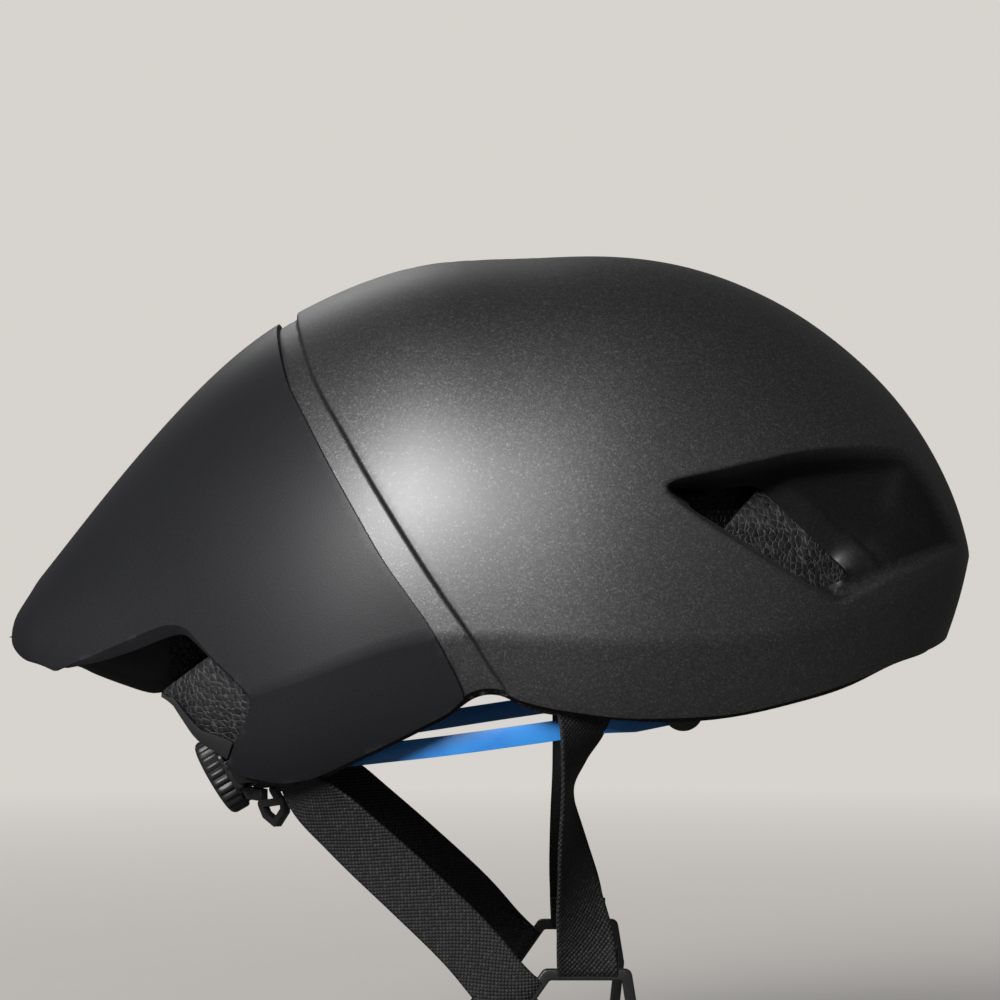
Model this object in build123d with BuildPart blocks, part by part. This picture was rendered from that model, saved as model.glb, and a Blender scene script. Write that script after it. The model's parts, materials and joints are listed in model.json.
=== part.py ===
"""Aero time trial helmet: a smooth front shell with side scoops, a tail fairing with two exhaust
ports, a foam liner, comfort pads, a dial fit system with racks, and webbing straps with a buckle.

Millimetres. +X is forward, +Y is the wearer's left, +Z is up. The origin is the centre of the head
opening, level with the liner's lower edge above the ears.
"""

import os
from math import cos, pi, radians, sin, tan

from build123d import *

# Overall sizes
helmet_length = 324.0
helmet_width = 202.0
crown_height = 151.0

# Walls and clearances
shell_wall = 3.1
tail_wall = 1.8
band_step = 1.85
lap_length = 8.0
crown_recess_depth = 1.3
foam_gap = 0.4
seam_gap = 0.6
foam_lip = 1.5
fit_gap = 0.3
running_gap = 0.08

# Head and the space round it
head_length = 199.0
head_breadth = 157.0
head_top = 117.0
head_side_height = 10.0
head_skirt = 70.0
pad_thickness = 5.0
pad_gap = 0.4
pad_clearance = 0.1

half_width = helmet_width / 2
reach = helmet_width
body_middle_share = -0.056
bevel_slope_share = 0.37
bevel_depth_share = 0.4
keel_depth_share = 0.86
keel_width_share = 0.5

# Stations from nose to tail: place along the length, crown height, crease height, depth below
# the crease (shares of the crown height), half width, and how square the upper arch is.
station_shares = [
    (0.447, 0.358, 0.325, 0.020, 0.079, 2.0),
    (0.441, 0.402, 0.322, 0.066, 0.168, 2.0),
    (0.429, 0.474, 0.311, 0.140, 0.282, 2.05),
    (0.404, 0.579, 0.291, 0.260, 0.421, 2.1),
    (0.364, 0.696, 0.252, 0.385, 0.569, 2.15),
    (0.309, 0.806, 0.205, 0.437, 0.708, 2.2),
    (0.241, 0.901, 0.169, 0.450, 0.832, 2.2),
    (0.154, 0.973, 0.156, 0.470, 0.936, 2.2),
    (0.062, 1.000, 0.156, 0.480, 0.995, 2.2),
    (-0.031, 0.995, 0.164, 0.485, 1.000, 2.2),
    (-0.123, 0.978, 0.156, 0.480, 0.970, 2.2),
    (-0.216, 0.911, 0.091, 0.420, 0.901, 2.15),
    (-0.309, 0.792, 0.026, 0.330, 0.772, 2.1),
    (-0.401, 0.599, 0.010, 0.180, 0.594, 2.05),
    (-0.478, 0.400, 0.060, 0.014, 0.426, 2.0),
    (-0.531, 0.256, 0.110, 0.028, 0.287, 2.0),
    (-0.557, 0.190, 0.140, 0.030, 0.180, 2.0),
]
arch_steps = 4

# Side view outlines, as shares of the length and of the crown height
rim_shares = [
    (0.5000, 0.2152), (0.4414, 0.1722), (0.4259, 0.1490), (0.3981, 0.1238), (0.3611, 0.1053),
    (0.3148, 0.0649), (0.2531, 0.0278), (0.1932, 0.0020), (0.1142, -0.0079), (0.0364, 0.0046),
    (-0.0225, 0.0298), (-0.0370, 0.0470), (-0.0540, 0.0523), (-0.0679, 0.0437), (-0.0907, 0.0073),
    (-0.1102, -0.0166), (-0.1503, -0.0616), (-0.1852, -0.0980), (-0.2204, -0.1364), (-0.2614, -0.1530),
    (-0.2901, -0.1430), (-0.3117, -0.1252),
]
seam_shares = [
    (-0.2793, 1.0993), (-0.2728, 0.8344), (-0.2534, 0.7013), (-0.2117, 0.5344), (-0.1549, 0.3252),
    (-0.1099, 0.1894), (-0.0812, 0.0728), (-0.0664, -0.0596),
]
dome_edge_shares = [
    (-0.2577, 1.0993), (-0.2515, 0.8477), (-0.2275, 0.7060), (-0.1664, 0.4815), (-0.1210, 0.3272),
    (-0.0710, 0.1695), (-0.0395, 0.0629), (-0.0093, -0.0596),
]
port_shares = [
    (-0.3031, -0.0682), (-0.2901, -0.0033), (-0.2870, 0.0219), (-0.2981, 0.0596), (-0.3250, 0.1192),
    (-0.3509, 0.1695), (-0.3673, 0.1828), (-0.3889, 0.1742), (-0.4210, 0.1417), (-0.4873, 0.0768),
]
tail_lip_shares = [
    (-0.5096, 0.0722), (-0.5247, 0.0828), (-0.5386, 0.0987), (-0.5481, 0.1232), (-0.5534, 0.1689),
]
keel_shares = [
    (-0.4830, 0.0795), (-0.4657, 0.0570), (-0.4377, 0.0344), (-0.4074, 0.0139), (-0.4074, 0.6490),
    (-0.4830, 0.4636),
]
trim_shares = [
    (-0.3068, -0.0748), (-0.3225, -0.0649), (-0.3380, -0.0556), (-0.3580, -0.0252), (-0.3741, 0.0010),
    (-0.3920, 0.0026), (-0.3840, -0.0119), (-0.3701, -0.0450), (-0.3540, -0.0781), (-0.3380, -0.1033),
    (-0.3139, -0.1272),
]
trim_floor_shares = [
    (-0.3920, 0.0026), (-0.3840, -0.0119), (-0.3701, -0.0450), (-0.3540, -0.0781), (-0.3380, -0.1033),
    (-0.3139, -0.1272),
]
foam_back_shares = [(-0.3932, 0.0066), (-0.3978, 0.3000), (-0.3519, 0.7199)]
duct_shares = [
    (-0.2593, 0.1258), (-0.3272, 0.1212), (-0.3488, 0.0901), (-0.4043, -0.0040), (-0.4198, 0.0596),
    (-0.4198, 0.3974), (-0.2593, 0.3974),
]
foam_nose_share = 0.41
foam_port_inner = 9.0
foam_port_outer = 62.0
port_lip_width = 2.4
port_lip_depth = 5.0
keel_wall = 3.0
trim_floor_wall = 2.0

# Side scoop: its outline, its two floor planes and the vent behind them
scoop_shares = [
    (0.1340, 0.4291), (0.1235, 0.4530), (0.1247, 0.4775), (0.1420, 0.4967), (0.1759, 0.5139),
    (0.2145, 0.5351), (0.2562, 0.5550), (0.3086, 0.5662), (0.3423, 0.5656), (0.3719, 0.5603),
    (0.3889, 0.5272), (0.4059, 0.4722), (0.4231, 0.4060), (0.4333, 0.3437), (0.4074, 0.3298),
    (0.3593, 0.2954), (0.3151, 0.2543), (0.2935, 0.2364), (0.2630, 0.2649), (0.2120, 0.3351),
    (0.1725, 0.3874),
]
scoop_middle_shares = [(0.3086, 0.3974)]
scoop_middle_half = 55.5
scoop_turn = 27.0
scoop_lean = 14.0
panel_edge_shares = [
    (0.2052, 0.5828), (0.2315, 0.5146), (0.3287, 0.3325), (0.3340, 0.1987), (0.0617, 0.1987),
    (0.0617, 0.5828),
]
vent_edge_shares = [
    (0.1914, 0.5563), (0.2136, 0.4781), (0.3037, 0.3000), (0.3117, 0.1987), (0.0617, 0.1987),
    (0.0617, 0.5563),
]
panel_step_turn = 44.0
panel_step_middle_shares = [(0.2809, 0.4238)]
vent_margin = 3.0
duct_start_share = 0.19
duct_height_share = 0.425
duct_width = 26.0
duct_depth = 13.0
duct_length = 46.0
duct_turn = 58.0
duct_corner = 4.3

# Crown recess seen from above, as shares of the length and of the half width
crown_recess_shares = [
    (-0.150, 0.000), (-0.143, 0.130), (-0.110, 0.215), (0.000, 0.190), (0.120, 0.140), (0.225, 0.045),
    (0.236, 0.000),
]

# Fit dial: the knob's centre, and how far its axis drops below the rear
dial_along_share = -0.334
dial_height_share = -0.169
dial_tilt = 30.5
knob_radius = 13.3
knob_length = 7.0
knob_rib_count = 26
knob_rib_width = 1.7
knob_rib_height = 0.9
knob_edge = 1.2
knob_taper = 26.6
knob_dish_radius = 9.0
knob_dish_depth = 1.8
shaft_radius = 2.5
spigot_radius = 1.7
spigot_seat = 0.6
screw_head_radius = 3.4
screw_head_length = 1.4
screw_socket_radius = 1.7
screw_radius = 0.9
screw_length = 6.0

# Rack drive under the knob
tooth_count = 10
rack_tooth_pairs = 4
pinion_pitch_radius = 3.0
tooth_height = 1.2
tooth_clearance = 0.2
rack_thickness = 2.4
rack_back = 2.2
rack_tail = 13.0
rack_front = 34.0
rack_block = 4.5
pinion_root_share = 0.30
rack_root_share = 0.30
tooth_tip_share = 0.13

# Cradle housing round the racks
cover_wall = 1.6
cradle_back_wall = 1.8
cradle_half_width = 23.0
cradle_height = 16.0
cradle_corner = 3.0
tongue_width = 13.0
tongue_thickness = 1.6
tongue_along_share = -0.316
tongue_low_share = -0.096
tongue_high_share = 0.159
ladder_width = 22.0
ladder_height = 14.0
ladder_height_share = 0.062
ladder_wall = 1.4
ladder_slack = 1.8
notch_shares = [
    (-0.2531, -0.2980), (-0.2531, -0.0861), (-0.2840, 0.0000), (-0.3765, 0.0000), (-0.3765, -0.2980),
]
notch_half = 50.0
groove_half = 8.0
groove_shares = [(-0.3025, -0.0397), (-0.3025, 0.2384), (-0.3302, 0.2384), (-0.3302, -0.0397)]

# Headband arms and the stems they ride on
band_height = 8.0
band_thickness = 1.6
band_path_shares = [
    (-0.3154, 0.3366, -0.1457, -90, -30.5), (-0.3040, 0.3812, -0.1417, -70, -18),
    (-0.2809, 0.4307, -0.1338, -55, -6), (-0.2469, 0.5050, -0.1219, -44, 0),
    (-0.2037, 0.6099, -0.1073, -34, 0), (-0.1543, 0.6970, -0.0914, -24, 0),
    (-0.0772, 0.7752, -0.0689, -11, 0), (0.0000, 0.7970, -0.0450, 0, 0),
    (0.0679, 0.7792, -0.0232, 10, 0), (0.1019, 0.7535, -0.0106, 16, 0), (0.1296, 0.7188, 0.0000, 12, 0),
]
stem_along_share = 0.139
stem_height_share = 0.0033
stem_inner_half = 66.0
eye_half = 72.0
anchor_half = 75.4
stem_radius = 2.0
eye_radius = 4.6
anchor_radius = 6.5
anchor_wall = 1.6
anchor_plug_radius = 3.6
anchor_plug_length = 4.0
anchor_recess_radius = 8.5

# Strap guide loops under the housing
loop_length = 19.0
loop_height = 10.5
loop_bar = 2.4
loop_thickness = 2.6
loop_wing = 13.0
loop_wing_height = 4.0
loop_wing_drop = 0.5
loop_along_share = -0.2735
loop_half = 37.5
loop_height_share = -0.229
loop_turn = 58.0
loop_shape_shares = [(-0.5, 0.25), (0.5, 0.5), (0.5, 0.0), (0.167, -0.5), (-0.25, -0.25)]

# Webbing
webbing_width = 19.5
webbing_thickness = 1.6
front_strap_shares = [
    (0.0417, 0.8515, 0.1060, 0, 0), (0.0417, 0.8495, 0.0000, 8, 0), (0.0398, 0.8436, -0.0795, 22, 0),
    (0.0340, 0.8257, -0.1656, 68, 0), (0.0324, 0.7970, -0.2781, 62, 0),
    (0.0370, 0.7673, -0.4106, 42, 0), (0.0448, 0.7366, -0.5331, 18, 0),
]
rear_strap_shares = [
    (-0.2469, 0.6337, -0.0397, -58, 0), (-0.2469, 0.6337, -0.1457, -58, 0),
    (-0.1975, 0.6535, -0.2517, -28, 0), (-0.1327, 0.6851, -0.3775, -10, 0),
    (-0.0772, 0.7109, -0.4901, -3, 0), (-0.0278, 0.7228, -0.6106, 0, 0),
]
chin_strap_shares = [
    (0.0455, 0.7228, -0.7848, 10, -8), (0.0571, 0.6634, -0.8444, 8, -28),
    (0.0802, 0.5594, -0.9046, 4, -55), (0.1049, 0.4257, -0.9457, 1, -80),
    (0.1173, 0.2970, -0.9536, 0, -90), (0.1173, 0.1881, -0.9536, 0, -90),
    (0.1173, 0.0792, -0.9536, 0, -90),
]
plug_length = 24.0
plug_height = 9.0
plug_depth = 6.0
plug_corner = 2.0

# Strap divider
divider_shares = [
    (0.0015, -0.5464), (0.0880, -0.5464), (0.0957, -0.6490), (0.0895, -0.7715), (0.0015, -0.7715),
    (-0.0463, -0.6921),
]
divider_half = 73.0
divider_bar = 3.6
divider_thickness = 3.6
divider_corner = 2.5

# Chin buckle
buckle_along_share = 0.1173
buckle_height_share = -0.9536
buckle_width = 27.0
buckle_length = 25.0
buckle_height = 9.0
buckle_wall = 1.5
buckle_edge = 1.2
buckle_hollow = 18.0
male_length = 11.0
male_height = 6.2
strap_hold = 3.3
prong_length = 16.0
prong_width = 3.0
prong_height = 3.6
prong_half = 9.2
prong_root_radius = 2.6
prong_root_back = 4.0
prong_swing = 1.8
prong_hook = 3.2
prong_hook_length = 5.0
guide_width = 4.0
guide_length = 14.0
pin_radius = 1.2
window_low = 9.0
window_high = 16.5
chin_guard_length = 44.0
chin_guard_width = 30.0
chin_guard_thickness = 2.4
chin_guard_corner = 7.5
keeper_wall = 1.2
keeper_length = 7.0
keeper_half = 18.0

# Comfort pads, tail clips
brow_pad_shares = [(0.1790, 0.1325), (0.3395, 0.1325), (0.3395, 0.2914), (0.1914, 0.2914)]
temple_pad_shares = [(0.0062, 0.0497), (0.1049, 0.0497), (0.1142, 0.1854), (-0.0062, 0.1854)]
nape_pad_shares = [(-0.2963, 0.2649), (-0.2160, 0.2649), (-0.1914, 0.4371), (-0.2778, 0.4371)]
crown_pad_length = 96.0
crown_pad_width = 30.0
crown_pad_corner = 12.0
clip_side_shares = [(-0.2469, 0.3179), (-0.2037, 0.3179), (-0.2037, 0.4106), (-0.2469, 0.4106)]
clip_top_shares = [(-0.3642, 0.5298), (-0.3210, 0.5298), (-0.3210, 0.8609), (-0.3642, 0.8609)]
clip_half = 8.0


def side_point(share):
    """A point of the side view from its shares of the length and of the crown height."""
    return (share[0] * helmet_length, share[1] * crown_height)


def shrink(size, inset):
    """A size reduced by an inset, which fades as the size nears zero."""
    return size * size / (size + inset)


def body(inset):
    """The helmet's closed outer form, moved inwards by an inset: a lofted right half and its mirror image."""
    middle = body_middle_share * helmet_length
    with BuildPart() as half_form:
        for along, crown, crease, depth, breadth, power in station_shares:
            place = middle + (along * helmet_length - middle) * (1 - 2 * inset / helmet_length)
            wide = shrink(breadth * half_width, inset)
            low = crease * crown_height
            rise = shrink((crown - crease) * crown_height, inset)
            drop = shrink(depth * crown_height, inset)
            angles = [pi / 2 * step / arch_steps for step in range(1, arch_steps)]
            arch = [(-wide * sin(a) ** (2 / power), low + rise * cos(a) ** (2 / power)) for a in angles]
            tuck = min(bevel_slope_share * bevel_depth_share * drop, bevel_depth_share * wide)
            near = (-wide + tuck, low - bevel_depth_share * drop)
            deep = (-keel_width_share * wide, low - keel_depth_share * drop)
            with BuildSketch(Plane.YZ.offset(place)):
                with BuildLine():
                    Spline((0, low + rise), *arch, (-wide, low), tangents=[(-1, 0), (0, -1)])
                    Spline((-wide, low), near, deep, (0, low - drop))
                    Line((0, low - drop), (0, low + rise))
                make_face()
        loft()
    with BuildPart() as form:
        add(half_form.part)
        mirror(about=Plane.XZ)
    return form.part


def across(points, smooth=0, half=reach):
    """A solid right across the helmet from a side view outline. Its first points may be a smooth curve."""
    outline = [side_point(point) for point in points]
    with BuildPart() as solid:
        with BuildSketch(Plane.XZ):
            with BuildLine():
                if smooth:
                    Spline(*outline[:smooth])
                    Polyline(*outline[smooth - 1 :], outline[0])
                else:
                    Polyline(*outline, close=True)
            make_face()
        extrude(amount=half, both=True)
    return solid.part


def moved(points, shift, rise=0):
    """The same outline, moved forward and up."""
    return [(point[0] + shift / helmet_length, point[1] + rise / crown_height) for point in points]


def head_space(gap):
    """The head's form with a gap round it all over, and a straight skirt below."""
    half_long = head_length / 2 + gap
    half_broad = head_breadth / 2 + gap
    with BuildPart() as crown:
        Sphere(radius=half_long)
        scale(by=(1, half_broad / half_long, (head_top + gap - head_side_height) / half_long))
    with BuildPart() as hollow:
        with Locations((0, 0, head_side_height)):
            add(crown.part)
        with BuildSketch(Plane.XY.offset(head_side_height)):
            Ellipse(half_long, half_broad)
        extrude(amount=-head_side_height - head_skirt)
    return hollow.part


def facing(turn, lean):
    """The way a face looks on the right side: turned from sideways towards the front, and leaned up."""
    turn, lean = radians(turn), radians(lean)
    return Vector(sin(turn) * cos(lean), -cos(turn) * cos(lean), sin(lean))


def ribbon(shares, width, thickness):
    """A flat strip on the right side, through stations that give its place and the way its face looks."""
    places = [Vector(s[0] * helmet_length, -s[1] * half_width, s[2] * crown_height) for s in shares]
    with BuildPart() as strip:
        for index, share in enumerate(shares):
            run = places[min(index + 1, len(places) - 1)] - places[max(index - 1, 0)]
            width_way = run.cross(facing(share[3], share[4]))
            with BuildSketch(Plane(origin=places[index], x_dir=width_way, z_dir=run)):
                Rectangle(width, thickness)
        loft()
    return strip.part


def left_of(part):
    """The same part on the wearer's left."""
    return mirror(part, about=Plane.XZ)


def scoop_floor(place_shares, turn, grow):
    """The half space outside a slanted floor plane on the right side."""
    along, height = side_point(place_shares[0])
    middle = floor_half_width(along, height)
    plane = Plane(origin=(along, -middle, height), z_dir=(tan(radians(turn)), -1, tan(radians(scoop_lean))))
    with BuildPart() as outside:
        with Locations(plane.offset(-grow)):
            Box(2 * reach, 2 * reach, reach, align=(Align.CENTER, Align.CENTER, Align.MIN))
    return outside.part


def floor_half_width(along, height):
    """How far the scoop's main floor lies from the middle plane."""
    start, level = side_point(scoop_middle_shares[0])
    forward, upward = along - start, height - level
    return scoop_middle_half - forward * tan(radians(scoop_turn)) - upward * tan(radians(scoop_lean))


def scoop(grow):
    """The right side scoop's hollow, grown for the shell's inner face or for the foam."""
    with BuildPart() as hollow:
        with BuildSketch(Plane.XZ):
            with BuildLine():
                Polyline(*[side_point(point) for point in scoop_shares], close=True)
            make_face()
            if grow:
                offset(amount=grow, kind=Kind.INTERSECTION)
        extrude(amount=reach)
    main = scoop_floor(scoop_middle_shares, scoop_turn, grow)
    step = scoop_floor(panel_step_middle_shares, panel_step_turn, grow)
    rear = across(panel_edge_shares)
    with BuildPart() as panel:
        add(hollow.part)
        add(main, mode=Mode.INTERSECT)
    with BuildPart() as recess:
        add(hollow.part)
        add(step, mode=Mode.INTERSECT)
        add(rear, mode=Mode.INTERSECT)
    with BuildPart() as whole:
        add(panel.part)
        add(recess.part)
    return whole.part


dial_along = dial_along_share * helmet_length
dial_height = dial_height_share * crown_height
dial_plane = Plane(
    origin=(dial_along, 0, dial_height),
    x_dir=(0, 1, 0),
    z_dir=(-cos(radians(dial_tilt)), 0, -sin(radians(dial_tilt))),
)
stem_along = stem_along_share * helmet_length
stem_height = stem_height_share * crown_height

outer = body(0)
shell_inside = body(shell_wall)
foam_outside = body(shell_wall + foam_gap)
band_outside = body(band_step)
below = -0.6
beyond = 0.8


def behind(edge, way):
    """Everything behind a side view edge, or in front of it."""
    corners = [(edge[-1][0], below), (way, below), (way, edge[0][1])]
    return across(edge + corners, len(edge))


below_rim = across(rim_shares + [(rim_shares[-1][0], below), (rim_shares[0][0], below)], len(rim_shares))
behind_dome = behind(dome_edge_shares, -beyond)
behind_lap = behind(moved(seam_shares, -lap_length), -beyond)
before_tail = behind(moved(seam_shares, -seam_gap), beyond)

# Front shell
right_scoop = scoop(0)
right_core = scoop(shell_wall)
with BuildPart() as vent_mouth:
    with BuildSketch(Plane.XZ):
        with BuildLine():
            Polyline(*[side_point(point) for point in scoop_shares], close=True)
        make_face()
        offset(amount=-vent_margin, kind=Kind.INTERSECTION)
    extrude(amount=reach)
    add(across(vent_edge_shares), mode=Mode.INTERSECT)
right_vent = vent_mouth.part
left_scoop, left_core, left_vent = left_of(right_scoop), left_of(right_core), left_of(right_vent)

with BuildPart() as band:
    add(band_outside)
    add(behind_lap, mode=Mode.SUBTRACT)
with BuildPart() as crown_cut:
    add(outer)
    add(body(crown_recess_depth), mode=Mode.SUBTRACT)
    outline = [(a * helmet_length, b * half_width) for a, b in crown_recess_shares]
    with BuildSketch(Plane.XY.offset(crown_height / 2)):
        with BuildLine():
            Spline(*outline, tangents=[(0, 1), (0, -1)])
            Spline(*[(a, -b) for a, b in outline], tangents=[(0, -1), (0, 1)])
        make_face()
    extrude(amount=crown_height, mode=Mode.INTERSECT)
with BuildPart() as core:
    add(shell_inside)
    add(right_core, mode=Mode.SUBTRACT)
    add(left_core, mode=Mode.SUBTRACT)
with BuildPart() as front_shell:
    add(outer)
    add(behind_dome, mode=Mode.SUBTRACT)
    add(band.part)
    add(crown_cut.part, mode=Mode.SUBTRACT)
    add(right_scoop, mode=Mode.SUBTRACT)
    add(left_scoop, mode=Mode.SUBTRACT)
    add(core.part, mode=Mode.SUBTRACT)
    add(below_rim, mode=Mode.SUBTRACT)
    add(right_vent, mode=Mode.SUBTRACT)
    add(left_vent, mode=Mode.SUBTRACT)
front_shell.part.label = "front_shell"

# Tail fairing
port_open = port_shares + tail_lip_shares
port_cut = across(port_open + [(-beyond, port_open[-1][1]), (-beyond, below), (port_shares[0][0], below)])
with BuildPart() as lip_ring:
    with BuildSketch(Plane.XZ):
        with BuildLine():
            Polyline(
                *[side_point(point) for point in port_shares],
                side_point((port_shares[0][0], below)),
                close=True,
            )
        make_face()
        offset(amount=port_lip_width, kind=Kind.INTERSECTION)
    extrude(amount=reach, both=True)
    add(outer, mode=Mode.INTERSECT)
    add(body(port_lip_depth), mode=Mode.SUBTRACT)
with BuildPart() as keel:
    add(across(keel_shares, 0, keel_wall / 2))
    add(body(tail_wall / 2), mode=Mode.INTERSECT)
with BuildPart() as tail_fairing:
    add(outer)
    add(body(tail_wall), mode=Mode.SUBTRACT)
    add(lip_ring.part)
    add(before_tail, mode=Mode.SUBTRACT)
    add(below_rim, mode=Mode.SUBTRACT)
    add(port_cut, mode=Mode.SUBTRACT)
    add(keel.part)
tail_fairing.part.label = "tail_fairing"

# Lower trim behind the head
head_hollow = head_space(pad_thickness)
notch = across(notch_shares, 0, notch_half)
trim_floor = trim_floor_shares + moved(trim_floor_shares, 0, trim_floor_wall)[::-1]
with BuildPart() as trim_base:
    add(across(trim_floor))
    add(body(shell_wall / 2), mode=Mode.INTERSECT)
with BuildPart() as rear_trim:
    add(outer)
    add(shell_inside, mode=Mode.SUBTRACT)
    add(across(trim_shares), mode=Mode.INTERSECT)
    add(trim_base.part)
    add(head_hollow, mode=Mode.SUBTRACT)
    add(notch, mode=Mode.SUBTRACT)
rear_trim.part.label = "rear_trim"

# Webbing and its anchors
slack = 2 * fit_gap
right_front_strap = ribbon(front_strap_shares, webbing_width, webbing_thickness)
right_rear_strap = ribbon(rear_strap_shares, webbing_width, webbing_thickness)


def strap_plug(share):
    """The plug that holds a strap's upper end inside the foam on the right side."""
    top = share[2] * crown_height + fit_gap
    place = Vector(share[0] * helmet_length, -share[1] * half_width, top)
    with BuildPart() as plug:
        with BuildSketch(Plane(origin=place, x_dir=facing(share[3] + 90, 0), z_dir=(0, 0, 1))):
            RectangleRounded(plug_length, plug_depth, plug_corner)
        extrude(amount=plug_height)
    return plug.part


right_front_plug = strap_plug(front_strap_shares[0])
right_rear_plug = strap_plug(rear_strap_shares[0])

# Stems for the headband's front ends
stem_start = Plane(origin=(stem_along, -stem_inner_half, stem_height), z_dir=(0, -1, 0))
with BuildPart() as right_anchor:
    with Locations(stem_start):
        Cylinder(
            stem_radius, anchor_half - stem_inner_half, align=(Align.CENTER, Align.CENTER, Align.MIN)
        )
    with Locations(stem_start.offset(anchor_half - stem_inner_half)):
        Cylinder(anchor_radius, anchor_wall, align=(Align.CENTER, Align.CENTER, Align.MIN))
        Cylinder(
            anchor_plug_radius,
            anchor_wall + anchor_plug_length,
            align=(Align.CENTER, Align.CENTER, Align.MIN),
        )
with BuildPart() as anchor_recess:
    with Locations(stem_start):
        Cylinder(
            anchor_recess_radius,
            anchor_half + anchor_wall - stem_inner_half,
            align=(Align.CENTER, Align.CENTER, Align.MIN),
        )

# Height ladder at the nape
tongue_along = tongue_along_share * helmet_length
ladder_middle = ladder_height_share * crown_height
hole_depth = tongue_thickness + 2 * ladder_slack
with BuildPart() as ladder:
    with Locations((tongue_along, 0, ladder_middle)):
        Box(hole_depth + 2 * ladder_wall, ladder_width, ladder_height)
        Box(hole_depth, tongue_width + 2 * ladder_slack, ladder_height, mode=Mode.SUBTRACT)
ladder.part.label = "height_ladder"

# Foam liner
foam_rim = moved(rim_shares, 0, -foam_lip)
trim_top = moved(trim_floor_shares, 0, trim_floor_wall + fit_gap)[::-1]
foam_edge = foam_rim + trim_top + foam_back_shares
foam_edge += [(foam_back_shares[-1][0], 2 * beyond), (-beyond, 2 * beyond), (-beyond, below)]
foam_cut = across(foam_edge + [(rim_shares[0][0], below)], len(foam_rim))
foam_scoop = scoop(shell_wall + foam_gap)
duct_level = duct_height_share * crown_height
duct_start = (duct_start_share * helmet_length, -scoop_middle_half - shell_wall, duct_level)
duct_way = (-sin(radians(duct_turn)), cos(radians(duct_turn)), 0)
with BuildPart() as scoop_duct:
    with BuildSketch(Plane(origin=duct_start, x_dir=(0, 0, 1), z_dir=duct_way)):
        RectangleRounded(duct_depth, duct_width, duct_corner)
    extrude(amount=duct_length / 2, both=True)
with BuildPart() as tail_duct:
    with BuildSketch(Plane.XZ.offset(foam_port_inner)):
        with BuildLine():
            Polyline(*[side_point(point) for point in duct_shares], close=True)
        make_face()
    extrude(amount=foam_port_outer - foam_port_inner)
right_cuts = [
    foam_scoop,
    scoop_duct.part,
    tail_duct.part,
    ribbon(front_strap_shares, webbing_width + slack, webbing_thickness + slack),
    ribbon(rear_strap_shares, webbing_width + slack, webbing_thickness + slack),
    right_front_plug,
    right_rear_plug,
    right_anchor.part,
    anchor_recess.part,
]
foam_cuts = right_cuts + [left_of(part) for part in right_cuts]
foam_cuts += [foam_cut, head_hollow, notch, lip_ring.part, across(groove_shares, 0, groove_half)]
with BuildPart() as ladder_seat:
    with Locations((tongue_along, 0, ladder_middle)):
        Box(hole_depth + 2 * ladder_wall, ladder_width, ladder_height)
foam_cuts.append(ladder_seat.part)
nose_low, nose_high = (foam_nose_share, below), (foam_nose_share, beyond)
foam_cuts.append(across([nose_low, (beyond, below), (beyond, beyond), nose_high]))
with BuildPart() as eps_liner:
    add(foam_outside)
    for part in foam_cuts:
        add(part, mode=Mode.SUBTRACT)
eps_liner.part.label = "eps_liner"

# Comfort pads between the head and the foam
with BuildPart() as pad_layer:
    add(head_space(pad_thickness - pad_clearance))
    add(head_space(pad_gap), mode=Mode.SUBTRACT)
with BuildPart() as right_side:
    with Locations((0, 0, 0)):
        Box(2 * reach, reach, 2 * reach, align=(Align.CENTER, Align.MAX, Align.CENTER))
with BuildPart() as brow_pad:
    add(pad_layer.part)
    add(across(brow_pad_shares), mode=Mode.INTERSECT)
brow_pad.part.label = "brow_pad"
with BuildPart() as crown_pad:
    add(pad_layer.part)
    with BuildSketch(Plane.XY.offset(crown_height / 2)):
        RectangleRounded(crown_pad_length, crown_pad_width, crown_pad_corner)
    extrude(amount=crown_height, mode=Mode.INTERSECT)
crown_pad.part.label = "crown_pad"
right_pads = []
for outline in (temple_pad_shares, nape_pad_shares):
    with BuildPart() as pad:
        add(pad_layer.part)
        add(across(outline), mode=Mode.INTERSECT)
        add(right_side.part, mode=Mode.INTERSECT)
        add(scoop_duct.part, mode=Mode.SUBTRACT)
        add(right_front_plug, mode=Mode.SUBTRACT)
    right_pads.append(pad.part)

# Clips between the tail and the foam
with BuildPart() as clip_layer:
    add(body(tail_wall + running_gap))
    add(body(shell_wall + foam_gap - running_gap), mode=Mode.SUBTRACT)
with BuildPart() as side_clip:
    add(clip_layer.part)
    add(across(clip_side_shares), mode=Mode.INTERSECT)
    add(right_side.part, mode=Mode.INTERSECT)
with BuildPart() as top_clip:
    add(clip_layer.part)
    add(across(clip_top_shares, 0, clip_half), mode=Mode.INTERSECT)
top_clip.part.label = "tail_clip_top"

# Fit dial, seen along its own axis
cover_outside = -knob_length / 2 - fit_gap
cover_inside = cover_outside - cover_wall
rack_outside = cover_inside - fit_gap
rack_inside = rack_outside - rack_thickness
pocket_floor = rack_inside - fit_gap
back_inside = pocket_floor - cradle_back_wall
tip_radius = pinion_pitch_radius + tooth_height / 2
root_radius = pinion_pitch_radius - tooth_height / 2 - tooth_clearance
rack_root = pinion_pitch_radius + tooth_height / 2 + tooth_clearance
rack_edge = rack_root + rack_back
tooth_pitch = 2 * pi * pinion_pitch_radius / tooth_count
low = (Align.CENTER, Align.CENTER, Align.MIN)

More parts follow.
